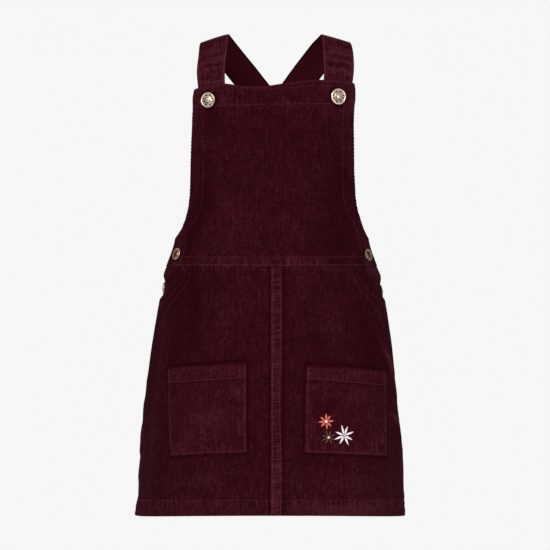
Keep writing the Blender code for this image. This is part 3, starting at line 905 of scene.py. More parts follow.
@dataclass(frozen=True)
class Corduroy:
    """Burgundy cotton corduroy: cut pile wales outside, plain twill inside."""

    name: str
    body: tuple[float, float, float] = (0.0284, 0.0018, 0.0041)
    plum: tuple[float, float, float] = (0.0252, 0.0018, 0.0062)
    # Dark colour for painted shade in the wale grooves and under tone below 0, and for the twill's dark
    # lines.
    deep: tuple[float, float, float] = (0.0118, 0.0005, 0.0014)
    # Light colour for worn pile and for painted highlight on ridges and edges.
    worn_and_highlit: tuple[float, float, float] = (0.0880, 0.0182, 0.0275)
    twill: tuple[float, float, float] = (0.0370, 0.0032, 0.0070)
    shade: float = 1.0
    cut: float = 1.0

    def _toned(self, colour: tuple[float, float, float]) -> tuple[float, float, float]:
        """A colour of the cloth with the piece's own shade."""
        return tuple(self.shade * part for part in colour)

    def make(self) -> bpy.types.Material:
        """Builds the material.

        Returns:
            A material that reads the attributes grain (across, along, side) and the tone of worn pile with
            painted light and shade.
        """
        bench = Bench(self.name)
        grain = bench.attribute("grain").outputs["Vector"]
        parts = bench.node("ShaderNodeSeparateXYZ", {}, {0: grain})
        across, along, inside = (Value(bench, socket) for socket in parts.outputs)
        wear = Value(bench, bench.attribute("wear").outputs["Fac"])

        sway = (bench.noise(bench.stretched(grain, (0.35, 0.02, 0.35)), 1.0) - 0.5) * 0.4
        ridge = ((across + sway) * (math.tau / PITCH) - math.pi / 2).sine() * 0.5 + 0.5
        groove = (1.0 - ridge) ** 2.4
        tuft = bench.noise(bench.stretched(grain, (0.85, 0.34, 1.0)), 1.0, 3.0, 0.7)
        lay = bench.noise(bench.stretched(grain, (0.40, 0.055, 0.3)), 1.0, 3.0, 0.6)
        patch = bench.noise(grain, 0.030, 3.0, 0.6)
        nap = bench.noise(grain, 0.20, 4.0, 0.85)
        clear = ((bench.noise(grain, 0.085, 2.0) - 0.5) * 4.5 + 0.42).kept()
        twill = ((across + along * 1.15) * (math.tau / 0.9)).sine() * 0.5 + 0.5

        outside = 1.0 - inside.stepped(0.25, 0.75)
        hue = ((bench.noise(grain, 0.11, 3.0, 0.6) - 0.5) * 3.0 + 0.4).kept()
        dyed = bench.mixed(hue, self._toned(self.body), self._toned(self.plum))
        # Painted shade: the grooves between the wales are mixed towards the deep colour.
        pile = bench.mixed((groove * (0.42 + clear * 1.0) * self.cut).kept(), dyed, self._toned(self.deep))
        drift = (tuft - 0.5) * 1.25 + (nap - 0.5) * 0.85 + (lay - 0.5) * 0.7 + (patch - 0.5) * 0.2
        # Tone above 0 mixes in the light colour, as worn pile and painted highlight; tone below 0 mixes in
        # the deep colour, as painted shade. The drift noise adds random light and dark.
        pile = bench.mixed((wear * 0.7 + drift).kept(), pile, self._toned(self.worn_and_highlit))
        pile = bench.mixed(((wear + drift) * -1.0).kept(), pile, self._toned(self.deep))
        back = bench.mixed(twill * 0.45, self._toned(self.twill), self._toned(self.deep))
        # Painted shade: the inner face goes almost black near its turned edges.
        back = bench.mixed((wear * -1.0).kept(), back, (0.0040, 0.0002, 0.0006))
        colour = bench.mixed(outside, back, pile)

        height = (outside * (ridge * (0.05 + clear * 0.12) + tuft * 0.22 + nap * 0.25 + lay * 0.1)
                  + (1.0 - outside) * twill * 0.05)
        rough = 0.86 + (tuft - 0.5) * 0.14
        return bench.finish({
            "Base Color": colour,
            "Roughness": rough,
            "Normal": bench.raised(height, MM, 0.9),
            "Specular IOR Level": 0.02,
            "Sheen Weight": 0.05,
            "Sheen Roughness": 0.4,
            "Sheen Tint": (0.90, 0.34, 0.42, 1.0),
        })


@dataclass(frozen=True)
class Yarn:
    """Twisted sewing or embroidery thread."""

    name: str
    colour: tuple[float, float, float]
    shadow: tuple[float, float, float]
    gloss: float = 0.55
    shine: float = 0.35

    def make(self) -> bpy.types.Material:
        """Builds the material, which reads the attribute grain (round, along, up) of each stitch.

        Returns:
            The material.
        """
        bench = Bench(self.name)
        grain = bench.attribute("grain").outputs["Vector"]
        parts = bench.node("ShaderNodeSeparateXYZ", {}, {0: grain})
        across, along, up = (Value(bench, socket) for socket in parts.outputs)
        twist = ((across * 3.0 + along * 1.0) * (math.tau / 1.1)).sine() * 0.5 + 0.5
        fuzz = bench.noise(grain, 3.0, 2.0)
        colour = bench.mixed((twist * 0.35 + (fuzz - 0.5) * 0.5 + (1.0 - up.stepped(-0.8, 0.5)) * 0.4).kept(),
                             self.colour, self.shadow)
        return bench.finish({
            "Base Color": colour,
            "Roughness": self.gloss + (fuzz - 0.5) * 0.1,
            "Normal": bench.raised(twist, 0.00006, 0.7),
            "Specular IOR Level": self.shine,
        })


@dataclass(frozen=True)
class Brass:
    """Pale brass with a darker patina in its hollows."""

    name: str
    bright: tuple[float, float, float] = (0.95, 0.755, 0.615)
    patina: tuple[float, float, float] = (0.026, 0.014, 0.006)
    spots: float = 2.6

    def make(self) -> bpy.types.Material:
        """Builds the material, which reads the attributes grain (of the button) and the button's brightness,
        worn bright, with patina in the hollows and painted shade on the outer wall.

        Returns:
            The material.
        """
        bench = Bench(self.name)
        grain = bench.attribute("grain").outputs["Vector"]
        wear = Value(bench, bench.attribute("wear").outputs["Fac"])
        stain = bench.noise(grain, 0.5, 4.0, 0.65)
        fine = bench.noise(grain, 6.0, 3.0, 0.6)
        # Mix towards the patina: the patina of the hollows is the metal's own, the dark outer wall is painted
        # shade.
        patina_and_shade = ((1.0 - wear) * 1.05 + (1.15 - wear) * (stain - 0.46) * self.spots).kept()
        return bench.finish({
            "Base Color": bench.mixed(patina_and_shade, self.bright, self.patina),
            "Metallic": 0.8,
            "Roughness": 0.26 + patina_and_shade * 0.3 + (fine - 0.5) * 0.12,
            "Normal": bench.raised(fine * 0.5 + stain, 0.00003, 0.6),
        })


def upright(edge: bmesh.types.BMEdge, lean: float) -> bool:
    """Whether an edge leans less than this share of its height."""
    across, up, _ = edge.verts[0].co - edge.verts[1].co
    return abs(across) < lean * abs(up)


@dataclass
class Cloth:
    """One cut piece of corduroy: its flat shape, its seams and the place it takes when worn."""

    name: str
    finish: bpy.types.Material
    seams: tuple[Seam, ...] = ()
    creases: tuple[Crease, ...] = ()
    held: Held = Held.HUNG
    rests_on: tuple[str, ...] = ()
    thread: bpy.types.Material | None = None

    def across(self) -> tuple[float, float]:
        """Lowest and highest s of the cut."""
        raise NotImplementedError

    def rows(self) -> list[float]:
        """Heights of the rows of the flat grid, rising."""
        raise NotImplementedError

    def trim(self, s: Array, t: Array) -> Pair:
        """Moves points of the flat grid that lie outside the cut onto its edge."""
        raise NotImplementedError

    def edges(self, s: Array, t: Array) -> Array:
        """Distance from each point to the nearest edge that is folded or cut."""
        raise NotImplementedError

    def walls(self, s: Array, t: Array) -> Pair:
        """How far out the inner and the outer face lie."""
        raise NotImplementedError

    def carry(self, s: Array, t: Array, out: Array) -> Pair:
        """Points and normals of the worn cloth, a distance out from its inner face's form."""
        raise NotImplementedError

    def own_relief(self, s: Array, t: Array) -> Array:
        """Relief that only this piece has, such as a ridge over a turned edge."""
        return np.zeros(s.shape)

    def own_tone(self, s: Array, t: Array) -> Array:
        """How much lighter, or below 0 darker, this piece is painted in places of its own, as painted
        highlight and painted shade, or on bands where cloth lies double.
        """
        return np.zeros(s.shape)

    def edge_tone(self, s: Array, t: Array) -> Array:
        """How much lighter, or below 0 darker, the cloth is near its edges: worn pile and painted highlight
        on the turn, painted shade beside it.
        """
        return np.zeros(s.shape)

    def tooth_share(self, s: Array, t: Array, reach: float) -> Array:
        """1 on an edge that the stitches beside it draw into small teeth, 0 at reach from it."""
        return np.zeros(s.shape)

    def relief(self, s: Array, t: Array) -> tuple[Array, Array, Array]:
        """Relief of the outer face above its mean.

        Args:
            s: Distances across the cloth.
            t: Heights on the cloth.

        Returns:
            What both faces share, what only the pile has, and the tone from -1 to 1: worn pile with painted
            light and shade.
        """
        shared = self.own_relief(s, t)
        furrows, puckers, bends, painted_fold_light = (np.zeros(s.shape) for _ in range(4))
        for seam in self.seams:
            furrow, pucker = seam.relief(s, t)
            furrows = np.minimum(furrows, furrow)
            puckers = puckers + pucker
        for crease in self.creases:
            share = crease.share(s, t)
            bends = bends + crease.rise * share
            painted_fold_light = painted_fold_light + crease.tone * share
        shared = shared + bends
        phase = s / PITCH * math.tau
        wale = (0.5 - 0.5 * np.cos(phase)) ** 0.8 - 0.6
        crushed = 1 + 0.8 * furrows / 0.3
        edge = self.edges(s, t)
        roll = -EDGE_ROLL * np.exp(-((edge / 0.75) ** 2))
        pile = WALE_RISE * wale * np.clip(crushed, 0.1, 1) + furrows + roll
        # Painted light and shade: pucker and crease ridges lighter and their hollows darker, partly as worn
        # pile on the ridges; each crease adds its own painted tone.
        tone = 0.62 * np.tanh(puckers / 0.24) + 0.16 * np.tanh(bends / 0.6) + painted_fold_light
        tone = tone + self.own_tone(s, t) + self.edge_tone(s, t)
        return shared + puckers, pile, np.clip(tone, -1, 1)

    def surface(self, s: Array, t: Array, above: float = 0.0) -> Pair:
        """Points and normals of the outer face, for what is sewn on it.

        Args:
            s: Distances across the cloth.
            t: Heights on the cloth.
            above: How far above the face to go.

        Returns:
            The points and the normals.
        """
        shared, pile, _ = self.relief(s, t)
        outer = self.walls(s, t)[1]
        return self.carry(s, t, outer + shared + np.minimum(pile, 0.0) * 0.8 + above)

    def flat_cut(self) -> tuple[bmesh.types.BMesh, float]:
        """Lays the piece out flat.

        Returns:
            A closed flat mesh in millimetres, and the area of the cut in square metres.
        """
        low, high = self.across()
        first, last = math.floor(low / COLUMN), math.ceil(high / COLUMN)
        columns = np.arange(first, last + 1) * COLUMN
        rows = np.array(self.rows())
        mesh = bmesh.new()
        bmesh.ops.create_grid(mesh, x_segments=len(columns) - 1, y_segments=len(rows) - 1, size=1.0)
        unit = np.array([vert.co[:2] for vert in mesh.verts])
        i = np.rint((unit[:, 0] + 1) / 2 * (len(columns) - 1)).astype(int)
        j = np.rint((unit[:, 1] + 1) / 2 * (len(rows) - 1)).astype(int)
        s, t = self.trim(columns[i], rows[j])
        for vert, place in zip(mesh.verts, np.stack([s, t, np.zeros(len(s))], axis=1)):
            vert.co = place
        bmesh.ops.remove_doubles(mesh, verts=mesh.verts, dist=0.02)
        bmesh.ops.dissolve_degenerate(mesh, edges=mesh.edges, dist=0.01)
        self._refine(mesh)
        flat = np.array([vert.co for vert in mesh.verts])
        teeth = self.tooth_share(flat[:, 0], flat[:, 1], 1.1)
        teeth = teeth * (0.28 * np.sin(flat[:, 1] * math.tau / 3.6) + 0.22 * uneven(flat[:, 1], 9.0, 5))
        for vert, move in zip(mesh.verts, teeth * np.sign(flat[:, 0])):
            vert.co.x += move
        area = sum(face.calc_area() for face in mesh.faces) * MM * MM
        bmesh.ops.recalc_face_normals(mesh, faces=mesh.faces)
        if sum(face.normal.z for face in mesh.faces) < 0:
            bmesh.ops.reverse_faces(mesh, faces=mesh.faces)
        bmesh.ops.solidify(mesh, geom=mesh.faces, thickness=1.0)
        return mesh, area

    def _refine(self, mesh: bmesh.types.BMesh) -> None:
        """Adds rows beside the upright seams whose puckers the plain rows would miss.

        Args:
            mesh: The flat mesh, which is changed in place.
        """
        edges = [edge for edge in mesh.edges
                 if edge.calc_length() > 1.9 and upright(edge, 0.4)]
        if not edges:
            return
        middles = np.array([(edge.verts[0].co + edge.verts[1].co) / 2 for edge in edges])
        near = self.tooth_share(middles[:, 0], middles[:, 1], 1.7) > 0
        for seam in self.seams:
            if not seam.pucker:
                continue
            (s0, t0), (s1, t1) = seam.points[0], seam.points[-1]
            if abs(s1 - s0) < 1.5 * abs(t1 - t0):
                gap, _ = seam.measure(middles[:, 0], middles[:, 1])
                if seam.side:
                    gap = np.where(gap * seam.side < 0, gap * 1.6, gap)
                near |= np.abs(gap) < seam.reach * 1.35
        chosen: dict[int, list] = {}
        for edge, is_near in zip(edges, near):
            if is_near:
                chosen.setdefault(max(1, round(edge.calc_length() / 1.05) - 1), []).append(edge)
        for cuts, some in chosen.items():
            bmesh.ops.subdivide_edges(mesh, edges=some, cuts=cuts)

    def build(self) -> bpy.types.Object:
        """Cuts, bends and dresses the piece, and puts it on the frame.

        Returns:
            The finished object.
        """
        flat, area = self.flat_cut()
        data = bpy.data.meshes.new(self.name + "_cloth")
        flat.to_mesh(data)
        flat.free()
        points = np.empty(len(data.vertices) * 3)
        data.vertices.foreach_get("co", points)
        points = points.reshape(-1, 3)
        s, t, inside = points[:, 0], points[:, 1], np.where(points[:, 2] < -0.5, 1.0, 0.0)
        inner, outer = self.walls(s, t)
        shared, pile, wear = self.relief(s, t)
        out = inner * inside + (outer + pile) * (1 - inside) + shared
        worn, _ = self.carry(s, t, out)
        data.vertices.foreach_set("co", (worn * MM).ravel())
        grain = np.stack([s, t, inside], axis=1)
        data.attributes.new("grain", "FLOAT_VECTOR", "POINT").data.foreach_set("vector", grain.ravel())
        # The tone stored on the outer face is worn pile plus painted highlight and painted shade; the inner
        # face is painted darker near its edges, as painted shade of the turned edges.
        data.attributes.new("wear", "FLOAT", "POINT").data.foreach_set(
            "value", wear * (1 - inside) - 0.9 * inside * soft_step(self.edges(s, t), 2.4, 0.9))
        data.update()
        data.polygons.foreach_set("use_smooth", np.ones(len(data.polygons), bool))
        data.set_sharp_from_angle(angle=math.radians(68))
        data.materials.append(self.finish)
        piece = put_on_frame(data)
        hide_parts(self.name)
        if self.thread is not None:
            self.sew()
        return piece

    def sew(self) -> bpy.types.Object:
        """Sews the seams of the piece.

        Returns:
            The object that holds all their stitches.
        """
        work = Stitching(self.name + "_stitching", self.thread)
        for seam in self.seams:
            if seam.thread:
                work.add(self, seam.marks(2.2, 0.45), seam.thread, 0.36)
        return work.build(self.name)


def put_on_frame(data: bpy.types.Mesh) -> bpy.types.Object:
    """Makes an object of a mesh and sets it on the frame.

    Args:
        data: The mesh, with its place in its vertices.

    Returns:
        The object.
    """
    piece = bpy.data.objects.new(data.name, data)
    bpy.context.scene.collection.objects.link(piece)
    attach(piece, "root")
    return piece


@dataclass
class Stitching:
    """Many short threads in one mesh."""

    name: str
    thread: bpy.types.Material
    sides: int = 6
    rings: int = 4
    spans: list[Array] = field(default_factory=list)

    def add(self, cloth: Cloth, marks: Array, width: float, height: float, above: float = 0.1) -> None:
        """Adds stitches on a piece of cloth.

        Args:
            cloth: The cloth that they are sewn in.
            marks: Start and end of each on the flat cloth.
            width: Width of the thread.
            height: Height of the thread.
            above: How far the middle of the thread lies above the cloth.
        """
        start, up = cloth.surface(marks[:, 0], marks[:, 1], above)
        end, _ = cloth.surface(marks[:, 2], marks[:, 3], above)
        size = np.broadcast_to([width, height], (len(marks), 2))
        self.spans.append(np.concatenate([start, end, up, size], axis=1))

    def build(self, slot: str) -> bpy.types.Object:
        """Makes the mesh.

        Args:
            slot: Name of the piece that the threads belong to; it is not used.

        Returns:
            The object.
        """
        spans = np.concatenate(self.spans)
        one = bmesh.new()
        bmesh.ops.create_uvsphere(one, u_segments=self.sides, v_segments=self.rings, radius=1.0,
                                  matrix=Matrix.Rotation(math.pi / 2, 4, "Y"))
        shape = np.array([vert.co for vert in one.verts])
        single = bpy.data.meshes.new("stitch")
        one.to_mesh(single)
        one.free()
        many = bmesh.new()
        for _ in range(len(spans)):
            many.from_mesh(single)
        data = bpy.data.meshes.new(self.name)
        many.to_mesh(data)
        many.free()
        bpy.data.meshes.remove(single)
        start, end, up = spans[:, 0:3], spans[:, 3:6], spans[:, 6:9]
        along = end - start
        length = np.linalg.norm(along, axis=1, keepdims=True)
        along = along / length
        side = np.cross(up, along)
        side = side / np.linalg.norm(side, axis=1, keepdims=True)
        up = np.cross(along, side)
        points = ((start + end) / 2)[:, None, :]
        points = points + shape[None, :, 0:1] * (along * length / 2)[:, None, :]
        points = points + shape[None, :, 1:2] * (side * spans[:, 9:10] / 2)[:, None, :]
        points = points + shape[None, :, 2:3] * (up * spans[:, 10:11] / 2)[:, None, :]
        data.vertices.foreach_set("co", (points * MM).ravel())
        grain = np.stack(np.broadcast_arrays(shape[None, :, 1] * spans[:, 9:10] / 2,
                                             shape[None, :, 0] * length / 2, shape[None, :, 2]), axis=-1)
        data.attributes.new("grain", "FLOAT_VECTOR", "POINT").data.foreach_set("vector", grain.ravel())
        data.update()
        data.polygons.foreach_set("use_smooth", np.ones(len(data.polygons), bool))
        data.materials.append(self.thread)
        return put_on_frame(data)


def waist_band(height: Array) -> Array:
    """1 where the skirt runs under the bodice, 0 below it."""
    return soft_step(height, SKIRT_CLEAR, SKIRT_TUCKED)


@dataclass
class FormCloth(Cloth):
    """Cloth that is laid out on one face of the worn form."""

    face: Face = Face.FRONT

    def carry(self, s: Array, t: Array, out: Array) -> Pair:
        """Points and normals of the worn cloth, a distance out from its inner face's form."""
        return FORM.place(FORM.angle_at(s, t, self.face), t, out)

    def angle(self, s: Array, t: Array) -> Array:
        """Angle round the form of points of the flat cloth."""
        return FORM.angle_at(s, t, self.face)

    def at(self, angle: Array | float, t: Array | float) -> Array:
        """Place across the flat cloth of an angle round the form."""
        return FORM.distance_to(angle, t, self.face)


def pocket_shares(corners: dict[str, float], angle: Array, t: Array) -> Pair:
    """Where points lie in a pocket's four-sided outline, 0 to 1 each way inside it.

    Args:
        corners: Angles and heights of the pocket's corners.
        angle: Angles round the form.
        t: Heights.

    Returns:
        Share across from the outer side, and share down from the top.
    """
    u, v = np.full(np.shape(angle), 0.5), np.full(np.shape(angle), 0.5)
    for _ in range(8):
        outer = part_way(corners, "top_outer", "bottom_outer", v)
        inner = part_way(corners, "top_inner", "bottom_inner", v)
        u = (angle - outer) / (inner - outer)
        top = part_way(corners, "top_outer_height", "top_inner_height", u)
        bottom = part_way(corners, "bottom_outer_height", "bottom_inner_height", u)
        v = (t - top) / (bottom - top)
    return u, v


def pocket_gap(corners: dict[str, float], angle: Array, t: Array) -> Array:
    """Distance in from a pocket's outline, less than 0 outside it.

    Args:
        corners: Angles and heights of the pocket's corners.
        angle: Angles round the form.
        t: Heights.

    Returns:
        The distances.
    """
    u, v = pocket_shares(corners, angle, t)
    ends = [FORM.distance_to(corners[name], corners[name + "_height"], Face.FRONT)
            for name in ("top_outer", "top_inner")]
    width = abs(float(ends[1] - ends[0]))
    return np.minimum.reduce([u * width, (1 - u) * width, v * POCKET_DEPTH, (1 - v) * POCKET_DEPTH])


@dataclass
class BibFront(FormCloth):
    """Bodice front with its turned top, its armhole edges and the band over the skirt."""

    def across(self) -> tuple[float, float]:
        """Lowest and highest s of the cut."""
        return float(self.at(-98.9, -212.0)) - 14, float(self.at(98.9, -212.0)) + 14

    def rows(self) -> list[float]:
        """Heights of the rows of the flat grid, rising.

        Returns:
            The heights.
        """
        return (spaced(BIB_BOTTOM, BIB_BOTTOM + 2.4, 0.6) + spaced(BIB_BOTTOM + 2.4, -223, 1.5)
                + spaced(-223, UNDERARM, 3.2) + spaced(UNDERARM, -203, 1.2) + spaced(-203, -186, 2.4)
                + spaced(-186, -72, 6.0) + spaced(-72, -49, 1.9) + spaced(-49, -47, 0.6) + [-47.0])

    def _edge(self, name: str, t: Array) -> Array:
        """Place across the cloth of one side edge."""
        angle = table_curve(BIB_EDGES, BIB_EDGE_COLUMNS, name, "height", t)
        return self.at(angle, t)

    def _side(self, s: Array, t: Array) -> Array:
        """Distance in from the nearer side edge, less than 0 outside it."""
        return np.minimum(s - self._edge("left", t), self._edge("right", t) - s)

    def _top(self, s: Array, t: Array) -> Array:
        """Height of the top edge above each point."""
        return table_curve(BIB_TOP, BIB_TOP_COLUMNS, "height", "angle", self.angle(s, t))

    def trim(self, s: Array, t: Array) -> Pair:
        """Moves points of the flat grid that lie outside the cut onto its edge.

        Args:
            s: Distances across the cloth.
            t: Heights on the cloth.

        Returns:
            The moved distances across and heights.
        """
        share = np.clip((t - BIB_EVEN) / (BIB_TOP_MEAN - BIB_EVEN), 0, 1) ** 1.5
        height = t
        for _ in range(4):
            inside = np.clip(s, self._edge("left", height), self._edge("right", height))
            height = t + (self._top(inside, height) - BIB_TOP_MEAN) * share
        return np.clip(s, self._edge("left", height), self._edge("right", height)), height

    def edges(self, s: Array, t: Array) -> Array:
        """Distance from each point to the nearest edge.

        Args:
            s: Distances across the cloth.
            t: Heights on the cloth.

        Returns:
            The distances.
        """
        side = self._side(s, t)
        below = np.where(np.abs(t - UNDERARM) < 12, np.maximum(UNDERARM - t, side), side)
        return np.maximum(np.minimum.reduce([self._top(s, t) - t, below, t - BIB_BOTTOM]), 0)

    def walls(self, s: Array, t: Array) -> Pair:
        """How far out the inner and the outer face lie."""
        turned = soft_step(t, -68.0, -64.0)
        return np.zeros(s.shape), WALL + TURNED_BAND * turned

    def tooth_share(self, s: Array, t: Array, reach: float) -> Array:
        """1 on an edge that the stitches beside it draw into small teeth, 0 at reach from it."""
        on_edge = np.clip(1 - np.abs(self._side(s, t)) / reach, 0, 1)
        return on_edge * soft_step(t, -206.0, -200.0) * soft_step(t, -70.0, -80.0)

    def own_tone(self, s: Array, t: Array) -> Array:
        """How much lighter, or below 0 darker, the bib is painted: lighter on its turned top, over the strap
        ends, by its facings and on its waist band, and darker in a painted shadow ring round each strap
        button.

        Args:
            s: Distances across the cloth.
            t: Heights on the cloth.

        Returns:
            What is added to the tone.
        """
        turned = 0.05 * soft_step(t, -69.0, -67.0) + 0.12 * hump(t, -68.6, 2.6)
        over_strap = 0.13 * soft_step(t, -84.0, -76.0) * soft_step(np.abs(s - 2.0), 44.0, 52.0)
        facing = (0.08 + 0.06 * np.sign(s)) * soft_step(self._side(s, t), 9.0, 7.0)
        facing = facing * soft_step(t, -150.0, -132.0)
        band = 0.02 + 0.15 * soft_step(s, -84.0, -70.0) * soft_step(s, 72.0, 56.0)
        # Painted shadow: a dark ring on the cloth just round each strap button.
        button_shadow_ring = 0.0
        for name in ("strap_button_left", "strap_button_right"):
            spot = button_spot(name)
            off = np.hypot(s - self.at(spot["angle"], spot["height"]), t - spot["height"])
            button_shadow_ring = button_shadow_ring - 0.7 * hump(off - spot["diameter"] / 2, 0.3, 0.9)
        return turned + over_strap + facing + button_shadow_ring + band * soft_step(t, -227.0, -229.0)

    def edge_tone(self, s: Array, t: Array) -> Array:
        """How much lighter the bib is along its bottom and top edges, from worn pile and painted highlight,
        and how much darker just inside its side edges, in painted shade.
        """
        return (0.12 * hump(t - BIB_BOTTOM, 0.8, 1.0) - 0.45 * soft_step(self._side(s, t), 2.2, 0.6)
                + 0.50 * hump(self._top(s, t) - t, 1.0, 0.8))


@dataclass
class SkirtPanel(FormCloth):
    """What the skirt's front and back panels share: the drop and the fold of their hem."""

    def limits(self, t: Array) -> Pair:
        """Lowest and highest s of the cut at each height."""
        raise NotImplementedError

    def drop(self, s: Array, t: Array) -> Array:
        """How far the hem hangs lower towards the sides."""
        return HEM_DROP * np.sin(np.radians(self.angle(s, t))) ** 2

    def folded(self, t: Array) -> Array:
        """1 where the hem lies double, 0 above it."""
        return soft_step(t, HEM + HEM_DEPTH + 1.2, HEM + HEM_DEPTH - 1.0)

    def trim(self, s: Array, t: Array) -> Pair:
        """Moves points of the flat grid that lie outside the cut onto its edge.

        Args:
            s: Distances across the cloth.
            t: Heights on the cloth.

        Returns:
            The moved distances across and heights.
        """
        inside, height = s, t
        for _ in range(2):
            inside = np.clip(s, *self.limits(height))
            height = t - self.drop(inside, t) * soft_step(t, HEM_DROP_START, HEM)
        return inside, height


@dataclass
class SkirtFront(SkirtPanel):
    """One of the two front panels. The right one laps over the left at the centre seam."""

    sign: int = 1

    def across(self) -> tuple[float, float]:
        """Lowest and highest s of the cut."""
        near = LAP_EDGE - 2 if self.sign > 0 else -UNDERLAP_EDGE - 2
        return tuple(sorted((self.sign * near, self.sign * 216.0)))

    def rows(self) -> list[float]:
        """Heights of the rows of the flat grid, rising.

        Returns:
            The heights.
        """
        return (spaced(HEM, HEM + 2.4, 0.6) + spaced(HEM + 2.4, HEM + 20, 1.9) + spaced(HEM + 20, -438, 6.0)
                + spaced(-438, -429, 1.1) + spaced(-429, -409, 6.6) + spaced(-409, -388, 2.2)
                + spaced(-388, -358, 7.4) + spaced(-358, -348, 2.4) + spaced(-348, -335.5, 1.0)
                + spaced(-335.5, -316, 2.4) + spaced(-316, -276, 7.2) + spaced(-276, -270.5, 0.9)
                + spaced(-270.5, -248, 2.3) + spaced(-248, -237, 1.1) + spaced(-237, SKIRT_TOP, 2.6)
                + [SKIRT_TOP])

    def _far(self, t: Array) -> Array:
        """Place across of the side edge, which is the mouth of the slash pocket at its top."""
        angle = table_curve(MOUTH, MOUTH_COLUMNS, "angle", "height", t)
        return self.at(angle * self.sign, t)

    def _near(self, t: Array) -> Array:
        """Place across of the centre edge."""
        x = LAP_EDGE if self.sign > 0 else UNDERLAP_EDGE
        return self.at(FORM.angle_of(np.full(t.shape, x), t), t)

    def limits(self, t: Array) -> Pair:
        """Lowest and highest s of the cut at each height."""
        return sorted_pair(self._near(t), self._far(t))

    def edges(self, s: Array, t: Array) -> Array:
        """Distance from each point to the nearest edge.

        Args:
            s: Distances across the cloth.
            t: Heights on the cloth.

        Returns:
            The distances.
        """
        near = (s - self._near(t)) * self.sign
        far = (self._far(t) - s) * self.sign
        return np.maximum(np.minimum.reduce([near, far, t - HEM + self.drop(s, t)]), 0)

    def walls(self, s: Array, t: Array) -> Pair:
        """How far out the inner and the outer face lie.

        Args:
            s: Distances across the cloth.
            t: Heights on the cloth.

        Returns:
            Distances out of the inner and the outer face.
        """
        band = waist_band(t)
        hem = self.folded(t)
        if self.sign > 0:
            lap = soft_step(s, LAP_END - 0.1, LAP_FULL + 0.1)
            out = -LAYER * band + LAYER * lap * (1 - band)
            return out - HEM_FOLD * hem * (1 - lap), out + WALL
        under = soft_step(s, -8.9, -4.3)
        out = -LAYER * band * (1 + under)
        return out - HEM_FOLD * hem, out + WALL

    def own_relief(self, s: Array, t: Array) -> Array:
        """Unevenness of the side below the opening."""
        side = soft_step(np.abs(s), 150.0, 185.0) * soft_step(t, -272.0, -290.0)
        return side * (0.55 * uneven(t, 17.0, 7 + self.sign) + 0.25 * uneven(t, 7.0, 9 + self.sign))

    def own_tone(self, s: Array, t: Array) -> Array:
        """How much lighter, or below 0 darker, the panel is painted: lighter on the hem band and just under
        the bodice, darker in painted shadows round the pocket and along the centre lap.

        Args:
            s: Distances across the cloth.
            t: Heights on the cloth.

        Returns:
            What is added to the tone.
        """
        hem = 0.12 * soft_step(t, HEM + HEM_DEPTH, HEM + HEM_DEPTH - 3.0)
        hem = hem + 0.06 * soft_step(t, -444.0, -462.0)
        corners = pocket_corners("patch_pocket_right" if self.sign > 0 else "patch_pocket_left")
        gap = pocket_gap(corners, self.angle(s, t), t)
        # Painted shadow: a dark line just outside the pocket's outline, added to the hem's tone.
        hem = hem - 0.60 * hump(gap, -1.3, 1.3) * (0.8 + 0.4 * uneven(t + s, 13.0, 3))
        # Painted light just under the bodice's edge, lifting the real shadow that the edge casts.
        hem = hem + 0.20 * hump(t - BIB_BOTTOM, -1.4, 1.8)
        if self.sign < 0:
            # Painted shadow under the right panel where it laps over; the far side is lighter.
            return hem - 0.30 * soft_step(s, -4.5, -2.8) + 0.06 * soft_step(s, -150.0, -172.0)
        lap = 0.28 * soft_step(s, 10.8, 9.2) * soft_step(t, BIB_BOTTOM, BIB_BOTTOM - 2.0)
        # Painted shade line beside the edge of the seam allowance under the lap.
        return hem + lap - 0.36 * hump(s, 12.6, 1.5)

    def edge_tone(self, s: Array, t: Array) -> Array:
        """How much lighter the right panel is along its folded lap edge, from worn pile and painted
        highlight.

        Args:
            s: Distances across the cloth.
            t: Heights on the cloth.

        Returns:
            What is added to the tone.
        """
        if self.sign < 0:
            return np.zeros(s.shape)
        return 0.20 * hump(s - self._near(t), 0.8, 1.3)


